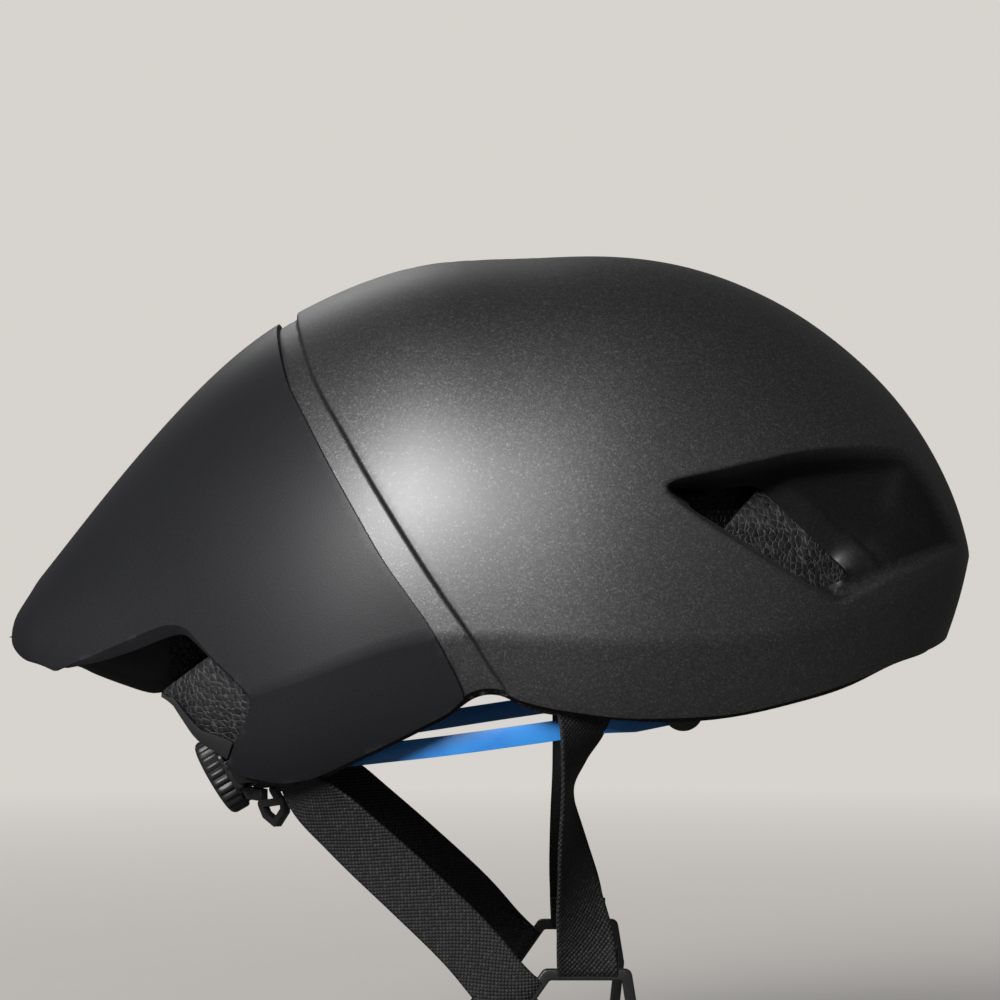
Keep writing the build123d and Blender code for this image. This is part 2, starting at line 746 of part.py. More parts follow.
with BuildPart() as dial_knob:
    with BuildSketch(dial_plane.offset(-knob_length / 2)):
        Circle(knob_radius)
        with PolarLocations(knob_radius, knob_rib_count):
            Rectangle(2 * knob_rib_height, knob_rib_width)
    extrude(amount=knob_length - knob_edge)
    with BuildSketch(dial_plane.offset(knob_length / 2 - knob_edge)):
        Circle(knob_radius)
    extrude(amount=knob_edge, taper=knob_taper)
    with Locations(dial_plane.offset(knob_length / 2 - knob_dish_depth)):
        Cylinder(knob_dish_radius, knob_dish_depth, align=low, mode=Mode.SUBTRACT)
    with Locations(dial_plane.offset(rack_outside)):
        Cylinder(shaft_radius, -knob_length / 2 - rack_outside, align=low)
    with Locations(dial_plane.offset(back_inside + spigot_seat)):
        Cylinder(spigot_radius, rack_outside - back_inside - spigot_seat, align=low)
    with Locations(dial_plane.offset(knob_length / 2 - knob_dish_depth - screw_length)):
        Cylinder(screw_radius + running_gap / 2, screw_length, align=low, mode=Mode.SUBTRACT)
dial_knob.part.label = "dial_knob"
with BuildPart() as dial_screw:
    with Locations(dial_plane.offset(knob_length / 2 - knob_dish_depth)):
        Cylinder(screw_head_radius, screw_head_length, align=low)
    with Locations(dial_plane.offset(knob_length / 2 - knob_dish_depth - screw_length)):
        Cylinder(screw_radius, screw_length, align=low)
    with BuildSketch(dial_plane.offset(knob_length / 2 - knob_dish_depth + screw_head_length / 2)):
        RegularPolygon(screw_socket_radius, 6)
    extrude(amount=screw_head_length, mode=Mode.SUBTRACT)
dial_screw.part.label = "dial_screw"
with BuildPart() as dial_pinion:
    with BuildSketch(dial_plane.offset(rack_inside)):
        Circle(root_radius)
        for index in range(tooth_count):
            turn = 90 + index * 360 / tooth_count
            with Locations(Rotation(0, 0, turn)):
                with BuildLine(mode=Mode.PRIVATE) as flank:
                    Polyline(
                        (root_radius / 2, -pinion_root_share * tooth_pitch),
                        (root_radius, -pinion_root_share * tooth_pitch),
                        (tip_radius, -tooth_tip_share * tooth_pitch),
                        (tip_radius, tooth_tip_share * tooth_pitch),
                        (root_radius, pinion_root_share * tooth_pitch),
                        (root_radius / 2, pinion_root_share * tooth_pitch),
                        close=True,
                    )
                add(make_face(flank.edges(), mode=Mode.PRIVATE))
        Circle(spigot_radius + running_gap / 2, mode=Mode.SUBTRACT)
    extrude(amount=rack_thickness)
dial_pinion.part.label = "dial_pinion"


def rack(side):
    """A toothed rack with the block that carries its headband arm, seen along the dial's axis."""
    rack_length = rack_tail + rack_front
    with BuildPart() as bar:
        with BuildSketch(dial_plane.offset(rack_inside)):
            with Locations((side * (rack_front - rack_length / 2), -side * (rack_root + rack_back / 2))):
                Rectangle(rack_length, rack_back)
            with Locations((side * (rack_front - rack_block / 2), -side * (rack_edge - band_height / 2) / 2)):
                Rectangle(rack_block, rack_edge + band_height / 2)
            for index in range(-rack_tooth_pairs, rack_tooth_pairs):
                middle = (index + 1 / 2) * tooth_pitch
                root = -side * (rack_root + tooth_clearance)
                top = -side * (rack_root - tooth_height - tooth_clearance)
                with BuildLine(mode=Mode.PRIVATE) as flank:
                    Polyline(
                        (middle - rack_root_share * tooth_pitch, root),
                        (middle + rack_root_share * tooth_pitch, root),
                        (middle + tooth_tip_share * tooth_pitch, top),
                        (middle - tooth_tip_share * tooth_pitch, top),
                        close=True,
                    )
                add(make_face(flank.edges(), mode=Mode.PRIVATE))
        extrude(amount=rack_thickness)
    return bar.part


right_arm = ribbon(band_path_shares, band_height, band_thickness)
with BuildPart() as eye:
    with Locations(Plane(origin=(stem_along, -eye_half, stem_height), z_dir=(0, 1, 0))):
        Cylinder(eye_radius, band_thickness)
with BuildPart() as eye_hole:
    with Locations(Plane(origin=(stem_along, -eye_half, stem_height), z_dir=(0, 1, 0))):
        Cylinder(stem_radius + running_gap, eye_radius)
arms = []
for side, arm, ring, bore in (
    (-1, right_arm, eye.part, eye_hole.part),
    (1, left_of(right_arm), left_of(eye.part), left_of(eye_hole.part)),
):
    with BuildPart() as headband:
        add(arm)
        add(ring)
        add(rack(side))
        add(bore, mode=Mode.SUBTRACT)
    arms.append(headband.part)

with BuildPart() as cradle_cover:
    with BuildSketch(dial_plane.offset(cover_inside)):
        RectangleRounded(2 * cradle_half_width, cradle_height, cradle_corner)
        Circle(knob_radius - knob_rib_height)
        Circle(shaft_radius + running_gap, mode=Mode.SUBTRACT)
    extrude(amount=cover_wall)
cradle_cover.part.label = "cradle_cover"

# Cradle back with its strap guide loops
loop_plane = Plane(
    origin=(loop_along_share * helmet_length, -loop_half, loop_height_share * crown_height),
    x_dir=(cos(radians(loop_turn)), -sin(radians(loop_turn)), 0),
    z_dir=(-sin(radians(loop_turn)), -cos(radians(loop_turn)), 0),
)
with BuildPart() as right_loop:
    with BuildSketch(loop_plane):
        with BuildLine():
            Polyline(*[(a * loop_length, b * loop_height) for a, b in loop_shape_shares], close=True)
        make_face()
        fillet(vertices(), radius=loop_bar / 2)
        offset(amount=-loop_bar, mode=Mode.SUBTRACT)
        with Locations((loop_bar - (loop_length + loop_wing) / 2, loop_height / 2 - loop_wing_drop)):
            Rectangle(loop_wing + loop_bar, loop_wing_height)
    extrude(amount=loop_thickness / 2, both=True)
with BuildPart() as cradle_back:
    with BuildSketch(dial_plane.offset(back_inside)):
        RectangleRounded(2 * cradle_half_width, cradle_height, cradle_corner)
    extrude(amount=cover_inside - back_inside)
    add(right_loop.part)
    add(left_of(right_loop.part))
    with Locations(dial_plane.offset(cover_inside)):
        Box(2 * reach, 2 * reach, reach, align=low, mode=Mode.SUBTRACT)
    with BuildSketch(dial_plane.offset(pocket_floor)):
        Rectangle(2 * reach, 2 * rack_edge + slack)
    extrude(amount=cover_inside - pocket_floor, mode=Mode.SUBTRACT)
    with Locations(dial_plane.offset(back_inside)):
        Cylinder(spigot_radius + running_gap, cradle_back_wall, align=low, mode=Mode.SUBTRACT)
    tongue_low = tongue_low_share * crown_height
    with Locations((tongue_along, 0, tongue_low)):
        Box(tongue_thickness, tongue_width, tongue_high_share * crown_height - tongue_low, align=low)
cradle_back.part.label = "cradle_back"

# Strap dividers
with BuildPart() as right_divider:
    with BuildSketch(Plane.XZ.offset(divider_half)):
        with BuildLine():
            Polyline(*[side_point(point) for point in divider_shares], close=True)
        make_face()
        fillet(vertices(), radius=divider_corner)
        offset(amount=-divider_bar, mode=Mode.SUBTRACT)
    extrude(amount=divider_thickness / 2, both=True)


def folded(strap, start, end):
    """A right side strap with its fold round one of the divider's bars."""
    (first_x, first_z), (last_x, last_z) = side_point(start), side_point(end)
    bar_way = Vector(last_x - first_x, 0, last_z - first_z).normalized()
    inward = Vector(0, 1, 0).cross(bar_way) * (divider_bar / 2)
    middle = Vector((first_x + last_x) / 2, -divider_half, (first_z + last_z) / 2) + inward
    outside = divider_bar + slack + 2 * webbing_thickness
    with BuildPart() as whole:
        add(strap)
        with Locations(Plane(origin=middle, x_dir=bar_way, z_dir=(0, -1, 0))):
            Box(webbing_width, outside, outside)
            Box(webbing_width, divider_bar + slack, divider_thickness + slack, mode=Mode.SUBTRACT)
    return whole.part


right_front = folded(right_front_strap, divider_shares[0], divider_shares[1])
right_rear = folded(right_rear_strap, divider_shares[5], divider_shares[0])
socket_end = (buckle_length - strap_hold) / half_width
chin_along, _, *chin_end = chin_strap_shares[-1]
chin_left_shares = chin_strap_shares[:-2] + [(chin_along, socket_end, *chin_end)]
chin_bar = divider_shares[3], divider_shares[4]
right_chin = folded(ribbon(chin_strap_shares, webbing_width, webbing_thickness), *chin_bar)
left_chin = left_of(folded(ribbon(chin_left_shares, webbing_width, webbing_thickness), *chin_bar))

# Chin buckle: the socket on the left strap, the plug and its two sprung arms on the right strap
buckle_along = buckle_along_share * helmet_length
buckle_level = buckle_height_share * crown_height
window_middle = (window_low + window_high) / 2
start_y = (Align.CENTER, Align.MIN, Align.CENTER)
end_y = (Align.CENTER, Align.MAX, Align.CENTER)
with BuildPart() as buckle_socket:
    with Locations((buckle_along, 0, buckle_level)):
        Box(buckle_width, buckle_length, buckle_height, align=start_y)
        fillet(buckle_socket.edges().filter_by(Axis.Y), radius=buckle_edge)
        Box(
            buckle_width - 2 * buckle_wall, buckle_hollow, buckle_height - 2 * buckle_wall,
            align=start_y, mode=Mode.SUBTRACT,
        )
    with Locations((buckle_along, window_middle, buckle_level)):
        Box(reach, window_high - window_low, prong_height + slack, mode=Mode.SUBTRACT)
    with Locations((buckle_along, buckle_length, buckle_level)):
        Box(
            webbing_width + slack, strap_hold + fit_gap, webbing_thickness + slack,
            align=end_y, mode=Mode.SUBTRACT,
        )
buckle_socket.part.label = "buckle_socket"
with BuildPart() as buckle_plug:
    with Locations((buckle_along, -fit_gap, buckle_level)):
        Box(buckle_width, male_length, male_height, align=end_y)
        fillet(buckle_plug.edges().filter_by(Axis.Y), radius=buckle_edge)
        Box(guide_width, guide_length, prong_height, align=start_y)
    for way in (-1, 1):
        with Locations((buckle_along + way * prong_half, -prong_root_back, buckle_level)):
            Cylinder(prong_root_radius + fit_gap, prong_height + slack, mode=Mode.SUBTRACT)
            Box(
                prong_width + prong_swing, prong_root_back, prong_height + slack,
                align=start_y, mode=Mode.SUBTRACT,
            )
            Cylinder(pin_radius, male_height - buckle_edge)
    with Locations((buckle_along, -fit_gap - male_length, buckle_level)):
        Box(
            webbing_width + slack, strap_hold + fit_gap, webbing_thickness + slack,
            align=start_y, mode=Mode.SUBTRACT,
        )
buckle_plug.part.label = "buckle_plug"
prongs = []
for way in (-1, 1):
    with BuildPart() as prong:
        with Locations((buckle_along + way * prong_half, -prong_root_back, buckle_level)):
            Cylinder(prong_root_radius, prong_height)
            Box(prong_width, prong_root_back + prong_length, prong_height, align=start_y)
        hook_side = buckle_along + way * (prong_half + prong_width / 2)
        with BuildSketch(Plane.XY.offset(buckle_level - prong_height / 2)):
            with BuildLine():
                Polyline(
                    (hook_side, window_low + fit_gap),
                    (hook_side + way * prong_hook, window_low + fit_gap),
                    (hook_side, window_low + fit_gap + prong_hook_length),
                    close=True,
                )
            make_face()
        extrude(amount=prong_height)
        with Locations((buckle_along + way * prong_half, -prong_root_back, buckle_level)):
            Cylinder(pin_radius + running_gap, 2 * prong_height, mode=Mode.SUBTRACT)
    prongs.append(prong.part)
with BuildPart() as chin_guard:
    guard_level = buckle_level + buckle_height / 2
    with BuildSketch(Plane.XY.offset(guard_level)):
        with Locations((buckle_along, buckle_length / 2)):
            RectangleRounded(chin_guard_width, chin_guard_length, chin_guard_corner)
    extrude(amount=chin_guard_thickness)
chin_guard.part.label = "chin_guard"
keeper_place = Vector(
    (chin_strap_shares[-1][0] + chin_strap_shares[-2][0]) / 2 * helmet_length, -keeper_half, buckle_level
)
keeper_way = Vector(
    (chin_strap_shares[-1][0] - chin_strap_shares[-2][0]) * helmet_length,
    (chin_strap_shares[-2][1] - chin_strap_shares[-1][1]) * half_width,
    0,
)
with BuildPart() as keeper:
    with Locations(Plane(origin=keeper_place, x_dir=(0, 0, 1), z_dir=keeper_way)):
        keeper_room = webbing_thickness + slack, webbing_width + slack
        Box(keeper_room[0] + 2 * keeper_wall, keeper_room[1] + 2 * keeper_wall, keeper_length)
        Box(*keeper_room, keeper_length, mode=Mode.SUBTRACT)
keeper.part.label = "strap_keeper"

pairs = {
    "strap_plug_front": right_front_plug,
    "strap_plug_rear": right_rear_plug,
    "temple_anchor": right_anchor.part,
    "temple_pad": right_pads[0],
    "nape_pad": right_pads[1],
    "tail_clip": side_clip.part,
    "front_strap": right_front,
    "rear_strap": right_rear,
    "strap_divider": right_divider.part,
}
single = [front_shell, tail_fairing, rear_trim, eps_liner, brow_pad, crown_pad, top_clip, ladder]
single += [cradle_back, cradle_cover, dial_knob, dial_screw, dial_pinion]
single += [buckle_socket, buckle_plug, chin_guard, keeper]
named = {item.part.label: item.part for item in single}
for name, part in pairs.items():
    named[name + "_right"] = part
    named[name + "_left"] = left_of(part)
named["headband_right"], named["headband_left"] = arms
named["chin_strap_right"], named["chin_strap_left"] = right_chin, left_chin
named["buckle_prong_rear"], named["buckle_prong_front"] = prongs

if __name__ == "__main__":
    os.makedirs("parts", exist_ok=True)
    for name, part in named.items():
        part.label = name
        export_step(part, "parts/" + name + ".step")
    print(len(named), "parts")
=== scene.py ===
import json
import math
import random

import bmesh
import bpy
import numpy as np
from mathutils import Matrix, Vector, geometry, kdtree

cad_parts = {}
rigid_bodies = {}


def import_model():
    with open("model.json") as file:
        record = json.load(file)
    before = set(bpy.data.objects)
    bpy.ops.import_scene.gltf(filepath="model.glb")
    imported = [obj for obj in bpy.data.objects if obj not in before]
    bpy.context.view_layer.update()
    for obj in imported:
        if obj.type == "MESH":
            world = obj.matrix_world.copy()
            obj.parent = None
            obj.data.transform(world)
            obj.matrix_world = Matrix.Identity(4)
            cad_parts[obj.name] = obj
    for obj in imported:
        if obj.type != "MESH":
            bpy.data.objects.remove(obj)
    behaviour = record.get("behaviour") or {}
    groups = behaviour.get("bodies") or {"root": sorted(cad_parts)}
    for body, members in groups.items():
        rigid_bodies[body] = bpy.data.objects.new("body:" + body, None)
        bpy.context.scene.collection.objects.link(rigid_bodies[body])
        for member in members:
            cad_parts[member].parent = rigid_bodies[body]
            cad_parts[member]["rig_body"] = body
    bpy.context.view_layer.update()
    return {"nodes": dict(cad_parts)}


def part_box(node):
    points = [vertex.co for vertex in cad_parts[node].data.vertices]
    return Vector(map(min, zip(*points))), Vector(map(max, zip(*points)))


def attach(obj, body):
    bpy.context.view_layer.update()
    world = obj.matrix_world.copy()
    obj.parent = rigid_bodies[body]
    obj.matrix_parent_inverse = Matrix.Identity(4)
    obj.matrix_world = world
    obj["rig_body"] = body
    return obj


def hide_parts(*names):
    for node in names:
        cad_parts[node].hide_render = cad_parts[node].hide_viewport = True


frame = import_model()
nodes = frame["nodes"]
mm = 0.001


def pick(piece):
    bpy.ops.object.select_all(action="DESELECT")
    piece.select_set(True)
    bpy.context.view_layer.objects.active = piece


def addModifier(piece, kind, **settings):
    modifier = piece.modifiers.new(kind.lower(), kind)
    for key, value in settings.items():
        setattr(modifier, key, value)


def applyModifiers(piece):
    pick(piece)
    for modifier in list(piece.modifiers):
        bpy.ops.object.modifier_apply(modifier=modifier.name)


# runs mesh operators, each with its settings, on the whole piece
def reworkMesh(piece, *steps):
    pick(piece)
    bpy.ops.object.mode_set(mode="EDIT")
    bpy.ops.mesh.select_all(action="SELECT")
    for operator, settings in steps:
        getattr(bpy.ops.mesh, operator)(**settings)
    bpy.ops.object.mode_set(mode="OBJECT")


def addToScene(name, data):
    thing = bpy.data.objects.new(name, data)
    bpy.context.scene.collection.objects.link(thing)
    return thing


def meshPiece(name, points, faces):
    mesh = bpy.data.meshes.new(name)
    mesh.from_pydata([tuple(p) for p in points], [], [tuple(f) for f in faces])
    mesh.update()
    return addToScene(name, mesh)


def smoothByAngle(piece, degrees):
    pick(piece)
    bpy.ops.object.shade_smooth_by_angle(angle=math.radians(degrees))


outwards = ("normals_make_consistent", {"inside": False})


# the faces round a body made of rings, and its two ends
def ringFaces(rows, count):
    faces = []
    for r in range(rows - 1):
        for k in range(count):
            n = (k + 1) % count
            faces.append((r * count + k, r * count + n, (r + 1) * count + n, (r + 1) * count + k))
    lastRing = tuple((rows - 1) * count + k for k in range(count))
    return faces + [tuple(range(count)), lastRing[::-1]]


# every vertex's place in mm
def vertexPlaces(piece):
    places = np.zeros(len(piece.data.vertices) * 3)
    piece.data.vertices.foreach_get("co", places)
    return places.reshape(-1, 3) / mm


def markValues(piece, name, values, domain="POINT"):
    mark = piece.data.attributes.new(name, "FLOAT", domain)
    mark.data.foreach_set("value", values.astype(np.float32))


def mirrored(points):
    out = np.array(points, float)
    out[:, 1] *= -1
    return out


def eased(t):
    return t * t * (3 - 2 * t)


def between(low, value, high):
    return min(high, max(low, value))


form = {
    "length": 324.0,
    "crown": 151.0,
    "halfWidth": 101.0,
    "bevelSlope": 0.27,
    "underRound": 3.4,
    "upperLength": 180.0,
    "lowerLength": 110.0,
    "sections": 2401,
    "leastHalfWidth": 0.3,
    # place, crown, crease, depth below the crease, half width, squareness
    "stations": [
        (0.4500, 0.332, 0.3245, 0.004, 0.012, 2.0),
        (0.447, 0.358, 0.325, 0.020, 0.079, 2.0),
        (0.441, 0.402, 0.322, 0.066, 0.168, 2.0),
        (0.429, 0.474, 0.311, 0.140, 0.282, 2.05),
        (0.404, 0.579, 0.291, 0.260, 0.421, 2.1),
        (0.364, 0.696, 0.252, 0.385, 0.569, 2.15),
        (0.309, 0.806, 0.205, 0.437, 0.708, 2.2),
        (0.241, 0.901, 0.169, 0.450, 0.832, 2.2),
        (0.154, 0.973, 0.156, 0.470, 0.936, 2.2),
        (0.062, 1.000, 0.156, 0.480, 0.995, 2.2),
        (-0.031, 0.995, 0.164, 0.485, 1.000, 2.2),
        (-0.123, 0.978, 0.156, 0.480, 0.970, 2.2),
        (-0.216, 0.911, 0.091, 0.420, 0.901, 2.15),
        (-0.309, 0.792, 0.026, 0.330, 0.772, 2.1),
        (-0.401, 0.599, 0.010, 0.180, 0.594, 2.05),
        (-0.478, 0.400, 0.060, 0.014, 0.426, 2.0),
        (-0.531, 0.256, 0.110, 0.028, 0.287, 2.0),
        (-0.554, 0.196, 0.140, 0.028, 0.190, 2.0),
        (-0.5575, 0.165, 0.142, 0.012, 0.110, 2.0),
        (-0.5583, 0.150, 0.143, 0.004, 0.030, 2.0),
    ],
}


def splineThrough(knots):
    knots = np.array(knots, float)
    count = len(knots)
    matrix, right = np.eye(count), np.zeros(count)
    for i in range(1, count - 1):
        matrix[i, i - 1 : i + 2] = 1, 4, 1
        right[i] = 6 * (knots[i - 1] - 2 * knots[i] + knots[i + 1])
    bend = np.linalg.solve(matrix, right)

    def at(s):
        i = np.clip(np.floor(s).astype(int), 0, count - 2)
        f = s - i
        curve = (f**3 - f) * bend[i + 1] + ((1 - f) ** 3 - (1 - f)) * bend[i]
        return knots[i] * (1 - f) + knots[i + 1] * f + curve / 6

    return at


def curveThrough(points, step, closed=False):
    pts = np.array(points, float)
    if closed:
        pts = np.vstack([pts[-2:], pts, pts[:3]])
    chord = np.concatenate([[0], np.cumsum(np.linalg.norm(np.diff(pts, axis=0), axis=1) ** 0.5)])
    fine = []
    for i in range(len(pts) - 1):
        before, after = max(i - 1, 0), min(i + 2, len(pts) - 1)
        span = chord[i + 1] - chord[i]
        startWay = (pts[i + 1] - pts[before]) / (chord[i + 1] - chord[before]) * span
        endWay = (pts[after] - pts[i]) / (chord[after] - chord[i]) * span
        for f in np.linspace(0, 1, 24, endpoint=False):
            a, b = 2 * f**3 - 3 * f**2 + 1, f**3 - 2 * f**2 + f
            c, d = -2 * f**3 + 3 * f**2, f**3 - f**2
            fine.append(a * pts[i] + b * startWay + c * pts[i + 1] + d * endWay)
    fine.append(pts[-1])
    fine = np.array(fine)
    if closed:
        fine = fine[24 * 2 : 24 * (len(points) + 2) + 1]
    run = np.concatenate([[0], np.cumsum(np.linalg.norm(np.diff(fine, axis=0), axis=1))])
    count = max(2, int(round(run[-1] / step)) + 1)
    even = np.linspace(0, run[-1], count)
    out = np.stack([np.interp(even, run, fine[:, k]) for k in range(fine.shape[1])], axis=1)
    return out[:-1] if closed else out


stationScale = (form["length"], form["crown"], form["crown"], form["crown"], form["halfWidth"], 1.0)
fineStations = np.linspace(0, len(form["stations"]) - 1, form["sections"])
scaledStations = np.array(form["stations"]) * stationScale
sections = np.stack([splineThrough(column)(fineStations) for column in scaledStations.T], axis=1)
sections[:, 4] = np.maximum(sections[:, 4], form["leastHalfWidth"])
stepLengths = np.hypot(np.diff(sections[:, 0]), np.diff(sections[:, 4]))
ringPlace = -np.concatenate([[0], np.cumsum(stepLengths)])
ringPlace -= np.interp(0, -sections[:, 0], ringPlace)
upperLength, lowerLength = form["upperLength"], form["lowerLength"]


# a section's x, crown, crease, depth below the crease, half width and squareness
def sectionAt(u):
    return [np.interp(-u, -ringPlace, column) for column in sections.T]


# where x lies along the unrolled form
def placeAt(x):
    return np.interp(-np.asarray(x, float), -sections[:, 0], ringPlace)


# the form's right side; u runs along it, m from the crown down to the rim
def formPoint(u, m):
    u, m = np.asarray(u, float), np.asarray(m, float)
    x, crown, crease, drop, wide, power = sectionAt(u)
    a = np.clip(m / upperLength, 0, 1) * math.pi / 2
    phi = np.clip((m - upperLength) / lowerLength, 0, 1) * math.pi / 2
    deep = np.sin(phi)
    slant = form["bevelSlope"] * drop / wide
    under = wide * (1 - slant * deep) * np.sqrt(np.maximum(1 - deep ** form["underRound"], 0))
    upper = wide * np.sin(a) ** (2 / power)
    y = np.where(m <= upperLength, upper, under)
    z = np.where(m <= upperLength, crease + (crown - crease) * np.cos(a) ** (2 / power), crease - drop * deep)
    return np.stack([x, -y, z], axis=-1)


def formNormal(u, m):
    step = 0.35
    alongU = formPoint(u + step, m) - formPoint(u - step, m)
    alongM = formPoint(u, m + step) - formPoint(u, np.maximum(m - step, 0.0))
    n = np.cross(alongU, alongM)
    n[:, 1] = np.where(m < step, 0, n[:, 1])
    n /= np.maximum(np.linalg.norm(n, axis=1, keepdims=True), 1e-9)
    centre = np.array([0, 0, 30.0])
    flip = np.sum(n * (formPoint(u, m) - centre), axis=1) < 0
    n[flip] *= -1
    return n


# from the side view into the unrolled form
def toDomain(points):
    points = np.asarray(points, float)
    x, z = points[:, 0], points[:, 1]
    u = placeAt(x)
    _, crown, crease, drop, _, power = sectionAt(u)
    share = np.clip((z - crease) / (crown - crease), 0, 1)
    upper = np.arccos(share ** (power / 2)) / (math.pi / 2) * upperLength
    deep = np.clip((crease - z) / drop, 0, 1)
    lower = upperLength + np.arcsin(deep) / (math.pi / 2) * lowerLength
    return np.stack([u, np.where(z >= crease, upper, lower)], axis=1)


def planToDomain(points):
    points = np.asarray(points, float)
    u = placeAt(points[:, 0])
    _, _, _, _, wide, power = sectionAt(u)
    a = np.arcsin(np.clip(np.abs(points[:, 1]) / wide, 0, 1) ** (power / 2))
    return np.stack([u, a / (math.pi / 2) * upperLength], axis=1)


def inside(points, outline):
    x, y = points[:, 0], points[:, 1]
    x0, y0 = outline[:, 0], outline[:, 1]
    x1, y1 = np.roll(x0, -1), np.roll(y0, -1)
    hit = np.zeros(len(points), bool)
    for a, b, c, d in zip(x0, y0, x1, y1):
        crosses = (b > y) != (d > y)
        with np.errstate(divide="ignore", invalid="ignore"):
            hit ^= crosses & (x < (c - a) * (y - b) / (d - b) + a)
    return hit


# each point's distance from a line, the place along it and the side
def distanceTo(points, line, closed=False):
    line = np.asarray(line, float)
    start = line if closed else line[:-1]
    end = np.roll(line, -1, axis=0) if closed else line[1:]
    best = np.full(len(points), 1e9)
    place = np.zeros(len(points))
    side = np.zeros(len(points))
    for k, (a, b) in enumerate(zip(start, end)):
        way = b - a
        size = max(way @ way, 1e-12)
        t = np.clip(((points - a) @ way) / size, 0, 1)
        gap = points - (a + t[:, None] * way)
        d = np.hypot(gap[:, 0], gap[:, 1])
        near = d < best
        best[near] = d[near]
        place[near] = (k + t)[near]
        side[near] = (way[0] * gap[:, 1] - way[1] * gap[:, 0])[near]
    return best, place, np.sign(side)


def offsetLine(line, amount, closed=False):
    line = np.asarray(line, float)
    if closed:
        way = np.roll(line, -1, axis=0) - np.roll(line, 1, axis=0)
    else:
        way = np.gradient(line, axis=0)
    way /= np.maximum(np.linalg.norm(way, axis=1, keepdims=True), 1e-9)
    return line + amount * np.stack([-way[:, 1], way[:, 0]], axis=1)


# a net over the unrolled form that follows the chains and keeps free points off them
def weave(free, chains, border, holes=()):
    coords, edges = [], []
    tree = kdtree.KDTree(sum(len(c) for c, _ in chains))
    for chain, closed in chains:
        first = len(coords)
        for p in chain:
            tree.insert((p[0], p[1], 0), len(coords))
            coords.append(Vector((float(p[0]), float(p[1]))))
        last = len(coords)
        edges += [(i, i + 1) for i in range(first, last - 1)]
        if closed:
            edges.append((last - 1, first))
    tree.balance()
    for p, room in free:
        if tree.find((p[0], p[1], 0))[2] > room:
            coords.append(Vector((float(p[0]), float(p[1]))))
    made = geometry.delaunay_2d_cdt(coords, edges, [], 0, 1e-3)
    points = np.array([(v.x, v.y) for v in made[0]])
    faces = np.array([f for f in made[2] if len(f) == 3])
    middle = points[faces].mean(axis=1)
    keep = inside(middle, border)
    for hole in holes:
        keep &= ~inside(middle, hole)
    faces = faces[keep]
    used = np.unique(faces)
    renumber = np.full(len(points), -1)
    renumber[used] = np.arange(len(used))
    return points[used], renumber[faces]


def gridPoints(u0, u1, m0, m1, step):
    us = np.arange(u0, u1, step)
    ms = np.arange(m0, m1, step)
    return [((u, m), 0.55 * step) for u in us for m in ms]


sheet = {
    "middleReach": 0.00002,
    "mirrorMerge": 0.00004,
    "merge": 0.00001,
    "sliver": 0.000001,
    "quads": {"face_threshold": math.radians(30), "shape_threshold": math.radians(40)},
    "sharpEdge": math.radians(55),
    "heart": (0, 0, 0.03),
}


def mirroredSheet(name, points, faces):
    piece = meshPiece(name, np.array(points) * mm, faces)
    for vertex in piece.data.vertices:
        if abs(vertex.co.y) < sheet["middleReach"]:
            vertex.co.y = 0
    axes = (False, True, False)
    addModifier(piece, "MIRROR", use_axis=axes, use_clip=True, merge_threshold=sheet["mirrorMerge"])
    applyModifiers(piece)
    reworkMesh(
        piece,
        ("remove_doubles", {"threshold": sheet["merge"]}),
        ("dissolve_degenerate", {"threshold": sheet["sliver"]}),
        ("tris_convert_to_quads", sheet["quads"]),
        outwards,
    )
    heart = Vector(sheet["heart"])
    if sum(f.normal.dot(f.center - heart) * f.area for f in piece.data.polygons) < 0:
        reworkMesh(piece, ("flip_normals", {}))
    return piece


def bevelSharp(piece, angle, width, profile, splitWide=False):
    mesh = bmesh.new()
    mesh.from_mesh(piece.data)
    sharp = [e for e in mesh.edges if len(e.link_faces) == 2 and e.calc_face_angle(0) > angle]
    bevel = {"offset": width * mm, "segments": 3, "profile": profile}
    bmesh.ops.bevel(mesh, geom=sharp, affect="EDGES", clamp_overlap=True, **bevel)
    if splitWide:
        bmesh.ops.triangulate(mesh, faces=[f for f in mesh.faces if len(f.verts) > 4])
    mesh.to_mesh(piece.data)
    mesh.free()


def thicken(piece, wall, edge):
    addModifier(piece, "SOLIDIFY", thickness=wall * mm, offset=-1, use_even_offset=False)
    applyModifiers(piece)
    bevelSharp(piece, sheet["sharpEdge"], edge, 0.6)


rimLine = curveThrough(
    [
        (138.7, 22.6), (136.0, 21.4), (129.0, 18.8), (117.0, 15.4), (102.0, 9.8), (82.0, 4.2), (62.6, 0.1),
        (49.9, -0.9), (37.0, -1.2), (24.5, -0.9), (11.8, 0.7), (0.7, 2.6), (-7.3, 4.8), (-12.0, 7.1),
        (-16.8, 7.9), (-21.5, 7.2), (-24.7, 5.5), (-29.4, 1.1), (-35.7, -2.5), (-48.7, -9.3), (-60.0, -14.8),
        (-71.4, -20.4), (-77.9, -22.3), (-84.7, -23.1), (-91.1, -22.1), (-98.0, -20.4), (-101.5, -18.8),
    ],
    0.5,
)
domeEdge = curveThrough(
    [
        (-84.0, 136.0), (-82.3, 130.6), (-80.2, 123.6), (-73.7, 106.6), (-64.0, 89.9), (-53.9, 72.7),
        (-39.2, 49.4), (-30.1, 35.8), (-23.0, 25.6), (-16.7, 15.2), (-12.8, 9.5), (-9.0, 1.0),
    ],
    1.5,
)
seamEdge = curveThrough(
    [
        (-87.6, 136.0), (-87.4, 128.6), (-87.0, 122.8), (-82.1, 105.9), (-75.8, 94.0), (-68.6, 80.7),
        (-60.4, 66.4), (-50.2, 49.1), (-43.5, 39.6), (-35.6, 28.6), (-30.9, 20.1), (-26.3, 11.0),
        (-23.6, 4.0), (-21.5, -4.0),
    ],
    1.5,
)
